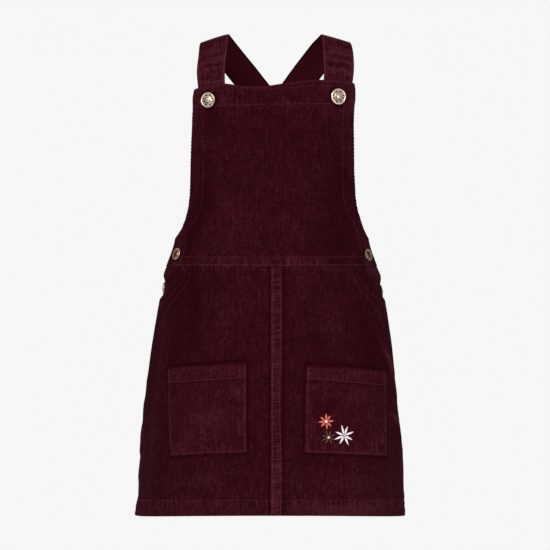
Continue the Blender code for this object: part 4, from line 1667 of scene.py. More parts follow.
@dataclass
class HipSide(FormCloth):
    """Side piece that shows behind the mouth of a slash pocket."""

    sign: int = 1

    def across(self) -> tuple[float, float]:
        """Lowest and highest s of the cut."""
        return tuple(sorted((self.sign * 70.0, self.sign * 180.0)))

    def rows(self) -> list[float]:
        """Heights of the rows of the flat grid, rising.

        Returns:
            The heights.
        """
        return (spaced(-296.0, -276, 3.4) + spaced(-276, -270.5, 1.1) + spaced(-270.5, -242, 2.2)
                + spaced(-242, -238.3, 0.6) + spaced(-238.3, -237.7, 0.15) + spaced(-237.7, SKIRT_TOP, 2.9)
                + [SKIRT_TOP])

    def _outer(self, t: Array) -> Array:
        """Place across of the side edge, which turns in below the side opening."""
        outer = SIDE_SEAM - 0.1 - 2.9 * soft_step(t, -271.6, -274.0)
        return self.at(outer * self.sign, t)

    def _mouth(self, s: Array, t: Array) -> Pair:
        """Angle of each point on its own side of the form, and that of the pocket's mouth beside it."""
        return self.angle(s, t) * self.sign, table_curve(MOUTH, MOUTH_COLUMNS, "angle", "height", t)

    def trim(self, s: Array, t: Array) -> Pair:
        """Moves points of the flat grid that lie outside the cut onto its edge."""
        inner = table_curve(HIP_INNER, MOUTH_COLUMNS, "angle", "height", t)
        return np.clip(s, *sorted_pair(self.at(inner * self.sign, t), self._outer(t))), t

    def edges(self, s: Array, t: Array) -> Array:
        """Distance from each point to the side edge, the only one that shows."""
        return np.maximum((self._outer(t) - s) * self.sign, 0)

    def walls(self, s: Array, t: Array) -> Pair:
        """How far out the inner and the outer face lie.

        Args:
            s: Distances across the cloth.
            t: Heights on the cloth.

        Returns:
            Distances out of the inner and the outer face.
        """
        angle, mouth = self._mouth(s, t)
        under = soft_step(angle, mouth + 11.0, mouth + 5.0)
        shown = (1 - under) * soft_step(t, -272.0, -242.0) * soft_step(t, SKIRT_TUCKED, BIB_BOTTOM - 4.0)
        out = -LAYER * (1 + waist_band(t) * under) - 0.5 + 1.7 * shown
        return out, out + WALL

    def own_relief(self, s: Array, t: Array) -> Array:
        """Fullness of the cloth right below the bodice, where it comes out to the bodice's face.

        Args:
            s: Distances across the cloth.
            t: Heights on the cloth.

        Returns:
            The relief.
        """
        angle, mouth = self._mouth(s, t)
        clear = soft_step(angle, mouth + 2.5, mouth + 6.0)
        lacking = np.maximum(0.9 - self.walls(s, t)[1], 0)
        below = soft_step(t, BIB_BOTTOM - 0.02, BIB_BOTTOM - 0.3)
        waist = lacking * clear * below * soft_step(t, -247.0, -242.0)
        free = soft_step(angle, mouth + 2.0, mouth + 7.0)
        if self.sign > 0:
            return waist + free * (1.1 * hump(angle, 84.0, 7.0) * hump(t, -254.0, 7.5))
        foot = 1.5 * free * hump(t, -268.5, 4.0)
        spot = button_spot("side_button_left_lower")
        off = np.hypot((angle + spot["angle"]) * 2.0, t - spot["height"])
        return waist + foot * soft_step(off, 6.0, 9.0) - SIDE_DIMPLE * np.exp(-((off / 9.0) ** 4))

    def own_tone(self, s: Array, t: Array) -> Array:
        """How much lighter, or below 0 darker, this piece is in the shade of the pocket's mouth.

        Args:
            s: Distances across the cloth.
            t: Heights on the cloth.

        Returns:
            What is added to the tone.
        """
        angle, mouth = self._mouth(s, t)
        off = (angle - mouth) / 5.0
        shade = 0.22 * soft_step(t, -243.0, -252.0) if self.sign < 0 else -0.20
        corner = 0.16 * hump(t, -242.5, 3.5) * soft_step(off, 0.4, 1.6)
        return np.exp(-off * off) * -0.25 * soft_step(t, -241.0, -247.0) - shade + corner


@dataclass
class Placket(FormCloth):
    """Underlap behind a side opening."""

    sign: int = 1

    def across(self) -> tuple[float, float]:
        """Lowest and highest s of the cut."""
        return tuple(sorted((self.sign * 115.0, self.sign * 200.0)))

    def rows(self) -> list[float]:
        """Heights of the rows of the flat grid, rising."""
        return spaced(PLACKET_FOOT, PLACKET_TOP, 3.0) + [PLACKET_TOP]

    def trim(self, s: Array, t: Array) -> Pair:
        """Moves points of the flat grid that lie outside the cut onto its edge."""
        ends = (self.at(angle * self.sign, t) for angle in PLACKET_ANGLES)
        return np.clip(s, *sorted_pair(*ends)), t

    def edges(self, s: Array, t: Array) -> Array:
        """Distance from each point to the nearest edge."""
        return np.maximum(np.minimum(PLACKET_TOP - t, t - PLACKET_FOOT), 0)

    def walls(self, s: Array, t: Array) -> Pair:
        """How far out the inner and the outer face lie."""
        out = np.full(s.shape, -2 * LAYER - 0.9)
        return out, out + WALL


@dataclass
class BackBib(FormCloth):
    """Back bodice with its curved armholes and turned top."""

    face: Face = Face.BACK

    def across(self) -> tuple[float, float]:
        """Lowest and highest s of the cut."""
        return -142.0, 142.0

    def rows(self) -> list[float]:
        """Heights of the rows of the flat grid, rising.

        Returns:
            The heights.
        """
        return (spaced(BIB_BOTTOM, BIB_BOTTOM + 2.4, 0.6) + spaced(BIB_BOTTOM + 2.4, -223, 1.6)
                + spaced(-223, UNDERARM, 3.2) + spaced(UNDERARM, -203, 1.2) + spaced(-203, -186, 2.6)
                + spaced(-186, -140, 5.0) + spaced(-140, -120, 2.0) + spaced(-120, BACK_BIB_TOP, 0.6)
                + [BACK_BIB_TOP])

    def _edge(self, t: Array) -> Array:
        """Place across the cloth of the side edge at larger angles."""
        angle = table_curve(BACK_EDGES, MOUTH_COLUMNS, "angle", "height", t)
        return self.at(360.0 - angle, t)

    def _lift(self, s: Array, t: Array) -> Array:
        """Height with the low curve of the top edge."""
        share = np.clip((t - BACK_BIB_EVEN) / (BACK_BIB_TOP - BACK_BIB_EVEN), 0, 1)
        return t - BACK_TOP_DIP * np.cos(np.radians(self.angle(s, t) - 180) * 2.4) ** 2 * share

    def trim(self, s: Array, t: Array) -> Pair:
        """Moves points of the flat grid that lie outside the cut onto its edge.

        Args:
            s: Distances across the cloth.
            t: Heights on the cloth.

        Returns:
            The moved distances across and heights.
        """
        edge = self._edge(t)
        s = np.clip(s, -edge, edge)
        return s, self._lift(s, t)

    def edges(self, s: Array, t: Array) -> Array:
        """Distance from each point to the nearest edge.

        Args:
            s: Distances across the cloth.
            t: Heights on the cloth.

        Returns:
            The distances.
        """
        top = self._lift(s, np.full(t.shape, BACK_BIB_TOP)) - t
        side = self._edge(t) - np.abs(s)
        return np.maximum(np.minimum.reduce([top, side, t - BIB_BOTTOM]), 0)

    def walls(self, s: Array, t: Array) -> Pair:
        """How far out the inner and the outer face lie."""
        return np.zeros(s.shape), WALL + TURNED_BAND * soft_step(t, -136.0, -132.0)

    def tooth_share(self, s: Array, t: Array, reach: float) -> Array:
        """1 on an edge that the stitches beside it draw into small teeth, 0 at reach from it."""
        on_edge = np.clip(1 - np.abs(self._edge(t) - np.abs(s)) / reach, 0, 1)
        return on_edge * soft_step(t, -206.0, -200.0) * soft_step(t, -134.0, -142.0)

    def own_tone(self, s: Array, t: Array) -> Array:
        """How much lighter the back is on its turned top band and on its waist band."""
        return soft_step(t, -136.0, -134.0) * 0.10 + 0.22 * soft_step(t, -228.0, -230.0)

    def edge_tone(self, s: Array, t: Array) -> Array:
        """How much lighter the back is along its bottom edge and near all its edges, from worn pile and
        painted highlight.
        """
        return 0.15 * hump(t - BIB_BOTTOM, 0.8, 1.0) + 0.22 * soft_step(self.edges(s, t), 3.0, 1.0)


@dataclass
class SkirtBack(SkirtPanel):
    """Back of the skirt, in one piece from side seam to side seam."""

    face: Face = Face.BACK

    def across(self) -> tuple[float, float]:
        """Lowest and highest s of the cut."""
        return -180.0, 180.0

    def rows(self) -> list[float]:
        """Heights of the rows of the flat grid, rising."""
        return (spaced(HEM, HEM + 2.4, 0.6) + spaced(HEM + 2.4, HEM + 20, 1.9) + spaced(HEM + 20, -270, 7.4)
                + spaced(-270, -250, 3.0) + spaced(-250, SKIRT_TOP, 2.2) + [SKIRT_TOP])

    def _edge(self, t: Array) -> Array:
        """Place across the cloth of the side edge at larger angles."""
        return self.at(np.full(np.shape(t), 360.1 - SIDE_SEAM), t)

    def limits(self, t: Array) -> Pair:
        """Lowest and highest s of the cut at each height."""
        edge = self._edge(t)
        return -edge, edge

    def edges(self, s: Array, t: Array) -> Array:
        """Distance from each point to the nearest edge."""
        return np.maximum(np.minimum(t - HEM + self.drop(s, t), self._edge(t) - np.abs(s)), 0)

    def walls(self, s: Array, t: Array) -> Pair:
        """How far out the inner and the outer face lie."""
        out = -LAYER * waist_band(t)
        return out - HEM_FOLD * self.folded(t), out + WALL

    def own_tone(self, s: Array, t: Array) -> Array:
        """How much lighter the back skirt is on its hem band."""
        return 0.16 * soft_step(t, HEM + HEM_DEPTH, HEM + HEM_DEPTH - 3.0)


@dataclass
class PatchPocket(FormCloth):
    """Pocket sewn on a front panel, open along its turned top."""

    corners: dict[str, float] = field(default_factory=dict)

    def _line(self, u: Array, v: Array) -> Pair:
        """Angle and height a share across from the outer side and a share down from the top.

        Args:
            u: Shares across.
            v: Shares down.

        Returns:
            The angles and the heights.
        """
        values = []
        for kind in ("", "_height"):
            upper = part_way(self.corners, "top_outer" + kind, "top_inner" + kind, u)
            lower = part_way(self.corners, "bottom_outer" + kind, "bottom_inner" + kind, u)
            values.append(upper + (lower - upper) * v)
        return values[0], values[1]

    def across(self) -> tuple[float, float]:
        """Lowest and highest s of the cut.

        Returns:
            The two distances across the cloth.
        """
        c = self.corners
        ends = [float(self.at(c[name], c[name + "_height"]))
                for name in ("top_outer", "top_inner", "bottom_inner", "bottom_outer")]
        return min(ends) - 1, max(ends) + 1

    def rows(self) -> list[float]:
        """Shares up the pocket of the rows of the flat grid, rising from its bottom.

        Returns:
            The shares.
        """
        heights = (spaced(0, 2.4, 0.6) + spaced(2.4, 12, 1.6) + spaced(12, POCKET_DEPTH - 22, 5.2)
                   + spaced(POCKET_DEPTH - 22, POCKET_DEPTH - 12, 1.2)
                   + spaced(POCKET_DEPTH - 12, POCKET_DEPTH - 2, 2.0)
                   + spaced(POCKET_DEPTH - 2, POCKET_DEPTH, 0.5) + [POCKET_DEPTH])
        return [height / POCKET_DEPTH for height in heights]

    def trim(self, s: Array, t: Array) -> Pair:
        """Moves points of the flat grid that lie outside the cut onto its edge.

        Args:
            s: Distances across the cloth.
            t: Shares up the pocket.

        Returns:
            The moved distances across, and their heights.
        """
        v = 1 - t
        ends = []
        for end in (0.0, 1.0):
            angle, height = self._line(np.full(s.shape, end), v)
            ends.append(self.at(angle, height))
        s = np.clip(s, *sorted_pair(*ends))
        u = (s - ends[0]) / (ends[1] - ends[0])
        for _ in range(6):
            angle, height = self._line(u, v)
            u = np.clip(u + (s - self.at(angle, height)) / (ends[1] - ends[0]), 0, 1)
        return s, self._line(u, v)[1]

    def edges(self, s: Array, t: Array) -> Array:
        """Distance from each point to the nearest edge."""
        return np.maximum(pocket_gap(self.corners, self.angle(s, t), t), 0)

    def walls(self, s: Array, t: Array) -> Pair:
        """How far out the inner and the outer face lie.

        Args:
            s: Distances across the cloth.
            t: Heights on the cloth.

        Returns:
            Distances out of the inner and the outer face.
        """
        u, v = np.clip(pocket_shares(self.corners, self.angle(s, t), t), 0, 1)
        rounded = np.sin(np.pi * u) ** 0.8
        bag = POCKET_BAG * rounded * np.exp(-v / 0.14) + 1.3 * rounded * np.sin(np.pi * v) ** 0.8
        end = POCKET_TURN / POCKET_DEPTH
        turned = soft_step(v, end + 0.012, end - 0.012)
        return LAYER + bag, LAYER + bag + WALL + TURNED_BAND * turned

    def own_tone(self, s: Array, t: Array) -> Array:
        """How much lighter, or below 0 darker, the pocket is painted: lighter by its edges and on its turned
        top band, with a painted shadow line just under the turned top.

        Args:
            s: Distances across the cloth.
            t: Heights on the cloth.

        Returns:
            What is added to the tone.
        """
        _, v = pocket_shares(self.corners, self.angle(s, t), t)
        down = v * POCKET_DEPTH
        turned = 0.10 * soft_step(down, POCKET_TURN + 1.0, POCKET_TURN - 1.0)
        # Painted shadow under the edge of the turned top.
        below = -0.22 * hump(down - POCKET_TURN, 2.4, 1.6)
        return 0.07 * soft_step(self.edges(s, t), 8.5, 6.0) + turned + below

    def edge_tone(self, s: Array, t: Array) -> Array:
        """How much lighter the pocket is along its sides and bottom, from worn pile and painted highlight,
        and how much darker along its open top, in painted shade of the mouth.

        Args:
            s: Distances across the cloth.
            t: Heights on the cloth.

        Returns:
            What is added to the tone.
        """
        _, v = pocket_shares(self.corners, self.angle(s, t), t)
        top = soft_step(v, 0.03, 0.014)
        # Painted shadow of the pocket's mouth along the top; a lighter line by the other edges.
        return (1 - top) * 0.26 * hump(self.edges(s, t), 0.9, 1.1) - 0.45 * top


@dataclass
class Strap(Cloth):
    """Shoulder strap: s runs across it from its inner edge's side, t along it from the front."""

    stations: tuple = ()
    side: int = 1

    def __post_init__(self) -> None:
        """Lays the strap's middle surface through its stations."""
        rows = np.array([self._station(row) for row in self.stations])
        fine = np.array(smooth_line(rows, [np.arange(12) / 12] * (len(rows) - 1)))
        run = runs(fine[:, fine.shape[1] // 2])
        self.length = float(run[-1])
        self.lengths = np.linspace(0, self.length, 321)
        self.shares = np.linspace(0, 1, fine.shape[1])
        self.middle = np.empty((len(self.lengths),) + fine.shape[1:])
        for c in range(fine.shape[1]):
            for axis in range(3):
                self.middle[:, c, axis] = np.interp(self.lengths, run, fine[:, c, axis])
        normal = np.cross(np.gradient(self.middle, axis=0), np.gradient(self.middle, axis=1)) * self.side
        self.normals = normal / np.linalg.norm(normal, axis=-1, keepdims=True)

    def _station(self, row: Sequence) -> Array:
        """Points across the strap at one station, from its inner to its outer edge.

        Args:
            row: The station's values, in the order of their columns.

        Returns:
            Points, with a last axis of 3.
        """
        place = dict(zip(STRAP_COLUMNS, row))
        share = np.linspace(0, 1, 13)
        x = part_way(place, "inner_x", "outer_x", share)
        z = part_way(place, "inner_z", "outer_z", share)
        if place["form_side"] == "free":
            y = part_way(place, "inner_y", "outer_y", share)
            bow = STRAP_CROWN * np.sin(np.pi * share) + place["lift"]
            return np.stack([x, y + bow * np.where(y > -9.0, 1, -1) * 0.7, z + 0.6 * bow], axis=-1)
        angle = FORM.angle_of(x, z, back=place["form_side"] == "back")
        return FORM.place(angle, z, np.full(13, -LAYER + WALL / 2 - 0.1 + place["lift"]))[0]

    def across(self) -> tuple[float, float]:
        """Lowest and highest s of the cut."""
        return 0.0, STRAP_WIDTH

    def rows(self) -> list[float]:
        """Places along the strap of the rows of the flat grid."""
        return spaced(0, self.length, 1.7) + [self.length]

    def trim(self, s: Array, t: Array) -> Pair:
        """Keeps the last column on the strap's edge."""
        return np.clip(s, 0, STRAP_WIDTH), t

    def edges(self, s: Array, t: Array) -> Array:
        """Distance from each point to the nearest edge."""
        return np.minimum(s, STRAP_WIDTH - s)

    def walls(self, s: Array, t: Array) -> Pair:
        """How far out the inner and the outer face lie."""
        return np.full(s.shape, -WALL / 2), np.full(s.shape, WALL / 2)

    def _wrinkles(self, s: Array, t: Array) -> Array:
        """Small uneven wrinkles across the strap, from -1 to 1."""
        broad = uneven(t + 0.12 * s + 1.2 * uneven(s, 16.0, 3), 7.5, 20 + self.side)
        return 0.6 * broad + 0.4 * uneven(t - 0.10 * s, 4.2, 30 + self.side)

    def own_relief(self, s: Array, t: Array) -> Array:
        """Wrinkles, flat near the edges."""
        return 0.30 * self._wrinkles(s, t) * soft_step(self.edges(s, t), 0.5, 4.5)

    def own_tone(self, s: Array, t: Array) -> Array:
        """How much lighter, or below 0 darker, the strap is painted: lighter all over as painted highlight,
        lighter and darker along its wrinkles as their painted light and shade, and darker past the shoulder
        as painted shade of the back.

        Args:
            s: Distances across the strap.
            t: Distances along the strap.

        Returns:
            What is added to the tone.
        """
        wrinkles = 0.42 * self._wrinkles(s, t) * soft_step(self.edges(s, t), 1.5, 5.5)
        # Painted shade on the strap past the shoulder, where it runs down the back.
        painted_back_shade = 0.16 * soft_step(t, 78.0, 100.0) * (0.5 + s / STRAP_WIDTH)
        return 0.19 + wrinkles - painted_back_shade

    def edge_tone(self, s: Array, t: Array) -> Array:
        """How much lighter the strap is along its edges, from worn pile and painted highlight, with a painted
        shade line along the inner stitching.

        Args:
            s: Distances across the strap.
            t: Distances along the strap.

        Returns:
            What is added to the tone.
        """
        inner, outer = s, STRAP_WIDTH - s
        return (0.55 * hump(inner, 0.9, 1.0) - 0.40 * hump(inner, 3.2, 0.9)
                + 0.15 * hump(outer, 0.8, 1.0))

    def carry(self, s: Array, t: Array, out: Array) -> Pair:
        """Points and normals of the worn strap, a distance out from its middle.

        Args:
            s: Distances across the strap.
            t: Distances along the strap.
            out: Distances out.

        Returns:
            The points and the normals.
        """
        share = np.asarray(s) / STRAP_WIDTH
        middle = read_grid(self.middle, self.lengths, self.shares, np.asarray(t), share)
        normal = read_grid(self.normals, self.lengths, self.shares, np.asarray(t), share)
        return middle + normal * np.asarray(out)[..., None], normal


@dataclass
class TackButton:
    """Turned brass button cap with a beaded rim and a low dome."""

    name: str
    finish: bpy.types.Material
    tarnish: float = 0.0
    sides: int = 56
    studs: int = 14

    def _turned(self, radius: float) -> bpy.types.Mesh:
        """Turns the cap and sets the studs of its rim.

        Args:
            radius: Radius of the button.

        Returns:
            The mesh of the cap, face up.
        """
        mesh = bmesh.new()
        ring = [mesh.verts.new((share * radius, 0, rise * radius)) for share, rise in BUTTON_PROFILE]
        edges = [mesh.edges.new(pair) for pair in zip(ring, ring[1:])]
        bmesh.ops.spin(mesh, geom=ring + edges, cent=(0, 0, 0), axis=(0, 0, 1), angle=math.tau,
                       steps=self.sides, use_merge=True)
        bmesh.ops.remove_doubles(mesh, verts=mesh.verts, dist=0.001)
        bmesh.ops.recalc_face_normals(mesh, faces=mesh.faces)
        for i in range(self.studs):
            turn = Matrix.Rotation(math.tau * (i + 0.2 * math.sin(2.7 * i)) / self.studs, 4, "Z")
            place = turn @ Matrix.Translation((0.68 * radius, 0, 0.335 * radius))
            bmesh.ops.create_uvsphere(mesh, u_segments=8, v_segments=6, radius=0.078 * radius,
                                      matrix=place @ Matrix.Diagonal((1.5, 0.9, 0.8, 1)))
        data = bpy.data.meshes.new(self.name + "_cap")
        mesh.to_mesh(data)
        mesh.free()
        return data

    def _shine(self, points: Array, radius: float, unshaded_reach: float) -> Array:
        """How bright the metal is: 1 where it is worn bright, 0 in its patina hollows and on its outer wall,
        which is painted in shade.

        Args:
            points: Points of the cap, face up.
            radius: Radius of the button.
            unshaded_reach: Share of the radius that is bright; beyond it the wall is painted in shade.

        Returns:
            The brightness at each point.
        """
        reach = np.hypot(points[:, 0], points[:, 1]) / radius
        channel = soft_step(reach, 0.50, 0.56) * soft_step(reach, 0.82, 0.77)
        studs = soft_step(points[:, 2] / radius, 0.345, 0.38) * channel
        aim = np.arctan2(points[:, 1], points[:, 0])
        hollow = hump(reach, 0.41, 0.08) * (0.55 - 0.45 * np.cos(aim - 0.7))
        # Painted shade on the outer wall of the rim.
        wall = soft_step(reach, unshaded_reach - 0.02, unshaded_reach + 0.05)
        dulled = (0.32 + self.tarnish) * soft_step(reach, 0.84, 0.78) * (1 - channel)
        return np.clip(1.0 - 0.95 * channel + 0.9 * studs - 0.95 * hollow - 1.1 * wall - dulled, 0, 1)

    def _seat(self, spot: dict[str, float]) -> Matrix:
        """Where the button sits on its cloth.

        Args:
            spot: Place and size of the button.

        Returns:
            The transform from millimetres, face up, to its place on the dress.
        """
        angle, height = np.array([spot["angle"]], float), np.array([spot["height"]], float)
        sunk = SIDE_DIMPLE if self.name == "side_button_left_lower" else 0.0
        seat, normal = FORM.place(angle, height, np.array([spot["cloth"] + 0.3 - sunk]))
        normal = normal[0]
        up = np.array([0, 0, 1]) - normal * normal[2]
        lean = math.radians(spot["lean"])
        normal = normal * math.cos(lean) - up / np.linalg.norm(up) * math.sin(lean)
        turn = Vector(normal).to_track_quat("Z", "Y").to_matrix().to_4x4()
        return Matrix.Translation(Vector(seat[0]) * MM) @ turn @ Matrix.Scale(MM, 4)

    def build(self) -> bpy.types.Object:
        """Turns the button, sets it on its cloth and puts it on the frame.

        Returns:
            The button.
        """
        spot = button_spot(self.name)
        radius = spot["diameter"] / 2
        data = self._turned(radius)
        points = np.array([vert.co for vert in data.vertices])
        wear = self._shine(points, radius, spot["unshaded_reach"])
        data.attributes.new("grain", "FLOAT_VECTOR", "POINT").data.foreach_set("vector", points.ravel())
        data.attributes.new("wear", "FLOAT", "POINT").data.foreach_set("value", wear)
        data.transform(self._seat(spot))
        data.polygons.foreach_set("use_smooth", np.ones(len(data.polygons), bool))
        data.materials.append(self.finish)
        piece = put_on_frame(data)
        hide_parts(self.name)
        log.info("%s: %d faces", self.name, len(data.polygons))
        return piece


@dataclass
class Daisy:
    """Eight-petalled flower of satin stitches on a pocket."""

    s: float
    t: float
    petal: float
    hollow: float
    width: float
    threads: int
    turn: float
    colour: bpy.types.Material
    middle: bpy.types.Material

    def sew(self, name: str, cloth: Cloth, slot: str) -> list[bpy.types.Object]:
        """Sews the petals and the middle.

        Args:
            name: Name of the flower.
            cloth: The pocket that it is sewn on.
            slot: Not used; it is handed on to the stitching.

        Returns:
            The objects of its petals and of its middle.
        """
        petals = Stitching(name + "_petals", self.colour, sides=6, rings=6)
        for i in range(8):
            aim = math.radians(self.turn + i * 45.0 + 5.0 * math.sin(2.3 * i))
            reach = self.petal * (1 + 0.07 * math.sin(3.1 * i + 1.0))
            out, over = np.array((math.cos(aim), math.sin(aim))), np.array((-math.sin(aim), math.cos(aim)))
            marks = []
            for k in range(self.threads):
                share = 0.0 if self.threads == 1 else 2 * k / (self.threads - 1) - 1
                run = reach - self.hollow
                start = out * (self.hollow + run * 0.22 * share * share) + over * share * self.width * 0.30
                end = out * (reach - run * 0.30 * share * share) + over * share * self.width * 0.26
                marks.append((*start, *end))
            marks = np.array(marks) + np.array((self.s, self.t, self.s, self.t))
            petals.add(cloth, marks, self.width / max(1, self.threads) * 1.5, 0.55, 0.28)
        middle = Stitching(name + "_middle", self.middle, sides=8, rings=6)
        marks = []
        for i in range(7):
            aim = math.tau * i / 6
            at = np.array((math.cos(aim), math.sin(aim))) * (0.0 if i == 6 else self.hollow * 0.75)
            along = np.array((-math.sin(aim), math.cos(aim))) * self.hollow * 0.45
            marks.append((*(at - along), *(at + along)))
        marks = np.array(marks) + np.array((self.s, self.t, self.s, self.t))
        middle.add(cloth, marks, self.hollow * 0.8, 0.7, 0.42)
        return [petals.build(slot), middle.build(slot)]


@dataclass
class Studio:
    """Plain pale floor, soft light and the camera."""

    distance: float = 8.0
    frame_width: float = 0.5775
    centre: tuple[float, float] = (0.0021, -0.2462)
    ambient: float = 0.30

    def build(self) -> None:
        """Puts the floor, the sky, the lights and the camera in the scene."""
        bpy.context.scene.view_settings.view_transform = "Standard"
        self._floor()
        self._sky()
        self._lamp("key_light", (-0.9, -2.6, 1.2), 1.5, 62.0)
        self._lamp("fill_light", (1.4, -2.8, -0.1), 1.4, 30.0)
        self._lamp("back_light", (0.6, 2.8, 1.0), 1.6, 30.0)
        self._camera()

    def _floor(self) -> None:
        """Lays the floor."""
        floor = bmesh.new()
        bmesh.ops.create_circle(floor, cap_ends=True, segments=96, radius=4.5)
        bmesh.ops.transform(floor, matrix=Matrix.Translation((0, 0, -0.75)), verts=floor.verts)
        data = bpy.data.meshes.new("floor")
        floor.to_mesh(data)
        floor.free()
        bench = Bench("pale_floor")
        position = bench.node("ShaderNodeTexCoord", {}, {}).outputs["Object"]
        mottle = bench.noise(position, 3.0, 2.0)
        data.materials.append(bench.finish({
            "Base Color": bench.mixed(mottle, (0.90, 0.90, 0.90), (0.92, 0.92, 0.92)),
            "Roughness": 0.9,
        }))
        stage = bpy.data.objects.new("floor", data)
        bpy.context.scene.collection.objects.link(stage)

    def _sky(self) -> None:
        """Makes the sky, which lights softly and shows as a plain pale background."""
        world = bpy.data.worlds.new("sky")
        world.use_nodes = True
        tree = world.node_tree
        sky = tree.nodes["Background"]
        ray = tree.nodes.new("ShaderNodeLightPath")
        share = tree.nodes.new("ShaderNodeMapRange")
        share.inputs["To Min"].default_value = self.ambient
        share.inputs["To Max"].default_value = 1.0
        tree.links.new(ray.outputs["Is Camera Ray"], share.inputs["Value"])
        tree.links.new(share.outputs["Result"], sky.inputs["Strength"])
        sky.inputs["Color"].default_value = (0.922, 0.922, 0.922, 1.0)
        bpy.context.scene.world = world

    def _lamp(self, name: str, place: tuple[float, float, float], size: float, power: float) -> None:
        """Adds a soft square lamp aimed at the dress.

        Args:
            name: Name of the lamp.
            place: Where it stands, in metres.
            size: Width of the lamp, in metres.
            power: Its power, in watts.
        """
        lamp = bpy.data.lights.new(name, "AREA")
        lamp.size = size
        lamp.energy = power
        thing = bpy.data.objects.new(name, lamp)
        aim = Vector((0, 0, -0.25)) - Vector(place)
        thing.matrix_world = Matrix.Translation(place) @ aim.to_track_quat("-Z", "Y").to_matrix().to_4x4()
        bpy.context.scene.collection.objects.link(thing)

    def _camera(self) -> None:
        """Adds the camera, level and square to the dress."""
        camera = bpy.data.cameras.new("camera")
        camera.sensor_width = SENSOR
        camera.lens = SENSOR * self.distance / self.frame_width
        camera.clip_end = 60.0
        thing = bpy.data.objects.new("camera", camera)
        place = (self.centre[0], -self.distance, self.centre[1])
        thing.matrix_world = Matrix.Translation(place) @ Matrix.Rotation(math.pi / 2, 4, "X")
        bpy.context.scene.collection.objects.link(thing)
        bpy.context.scene.camera = thing


def mirrored(seam: Seam, seed: int) -> Seam:
    """The same seam on the other side of the middle line, with unevenness of its own."""
    return replace(seam, points=tuple((-s, t) for s, t in seam.points), side=-seam.side, seed=seed)


TARNISH = {
    "side_button_left_upper": 0.52,
    "side_button_right_upper": 0.54,
    "side_button_right_lower": 0.48,
}
WAIST_STITCHES = Seam(((-112.0, -227.2), (0.0, -227.6), (115.0, -227.2)),
                      0.3, 0.8, 0.27, 4.4, 2.7, -1, 0.34, 11, 0.4)
WAIST_EDGE = Seam(((-112.0, -235.4), (0.0, -235.8), (115.0, -235.4)),
                  0.3, 0.8, 0.36, 6.0, 2.7, 1, 0.40, 17, 0.6)
WAIST_UNDER = Seam(((-190.0, -238.6), (0.0, -238.6), (190.0, -238.6)),
                   0.0, 0.8, 0.15, 4.5, 3.6, 0, 0.0, 23)


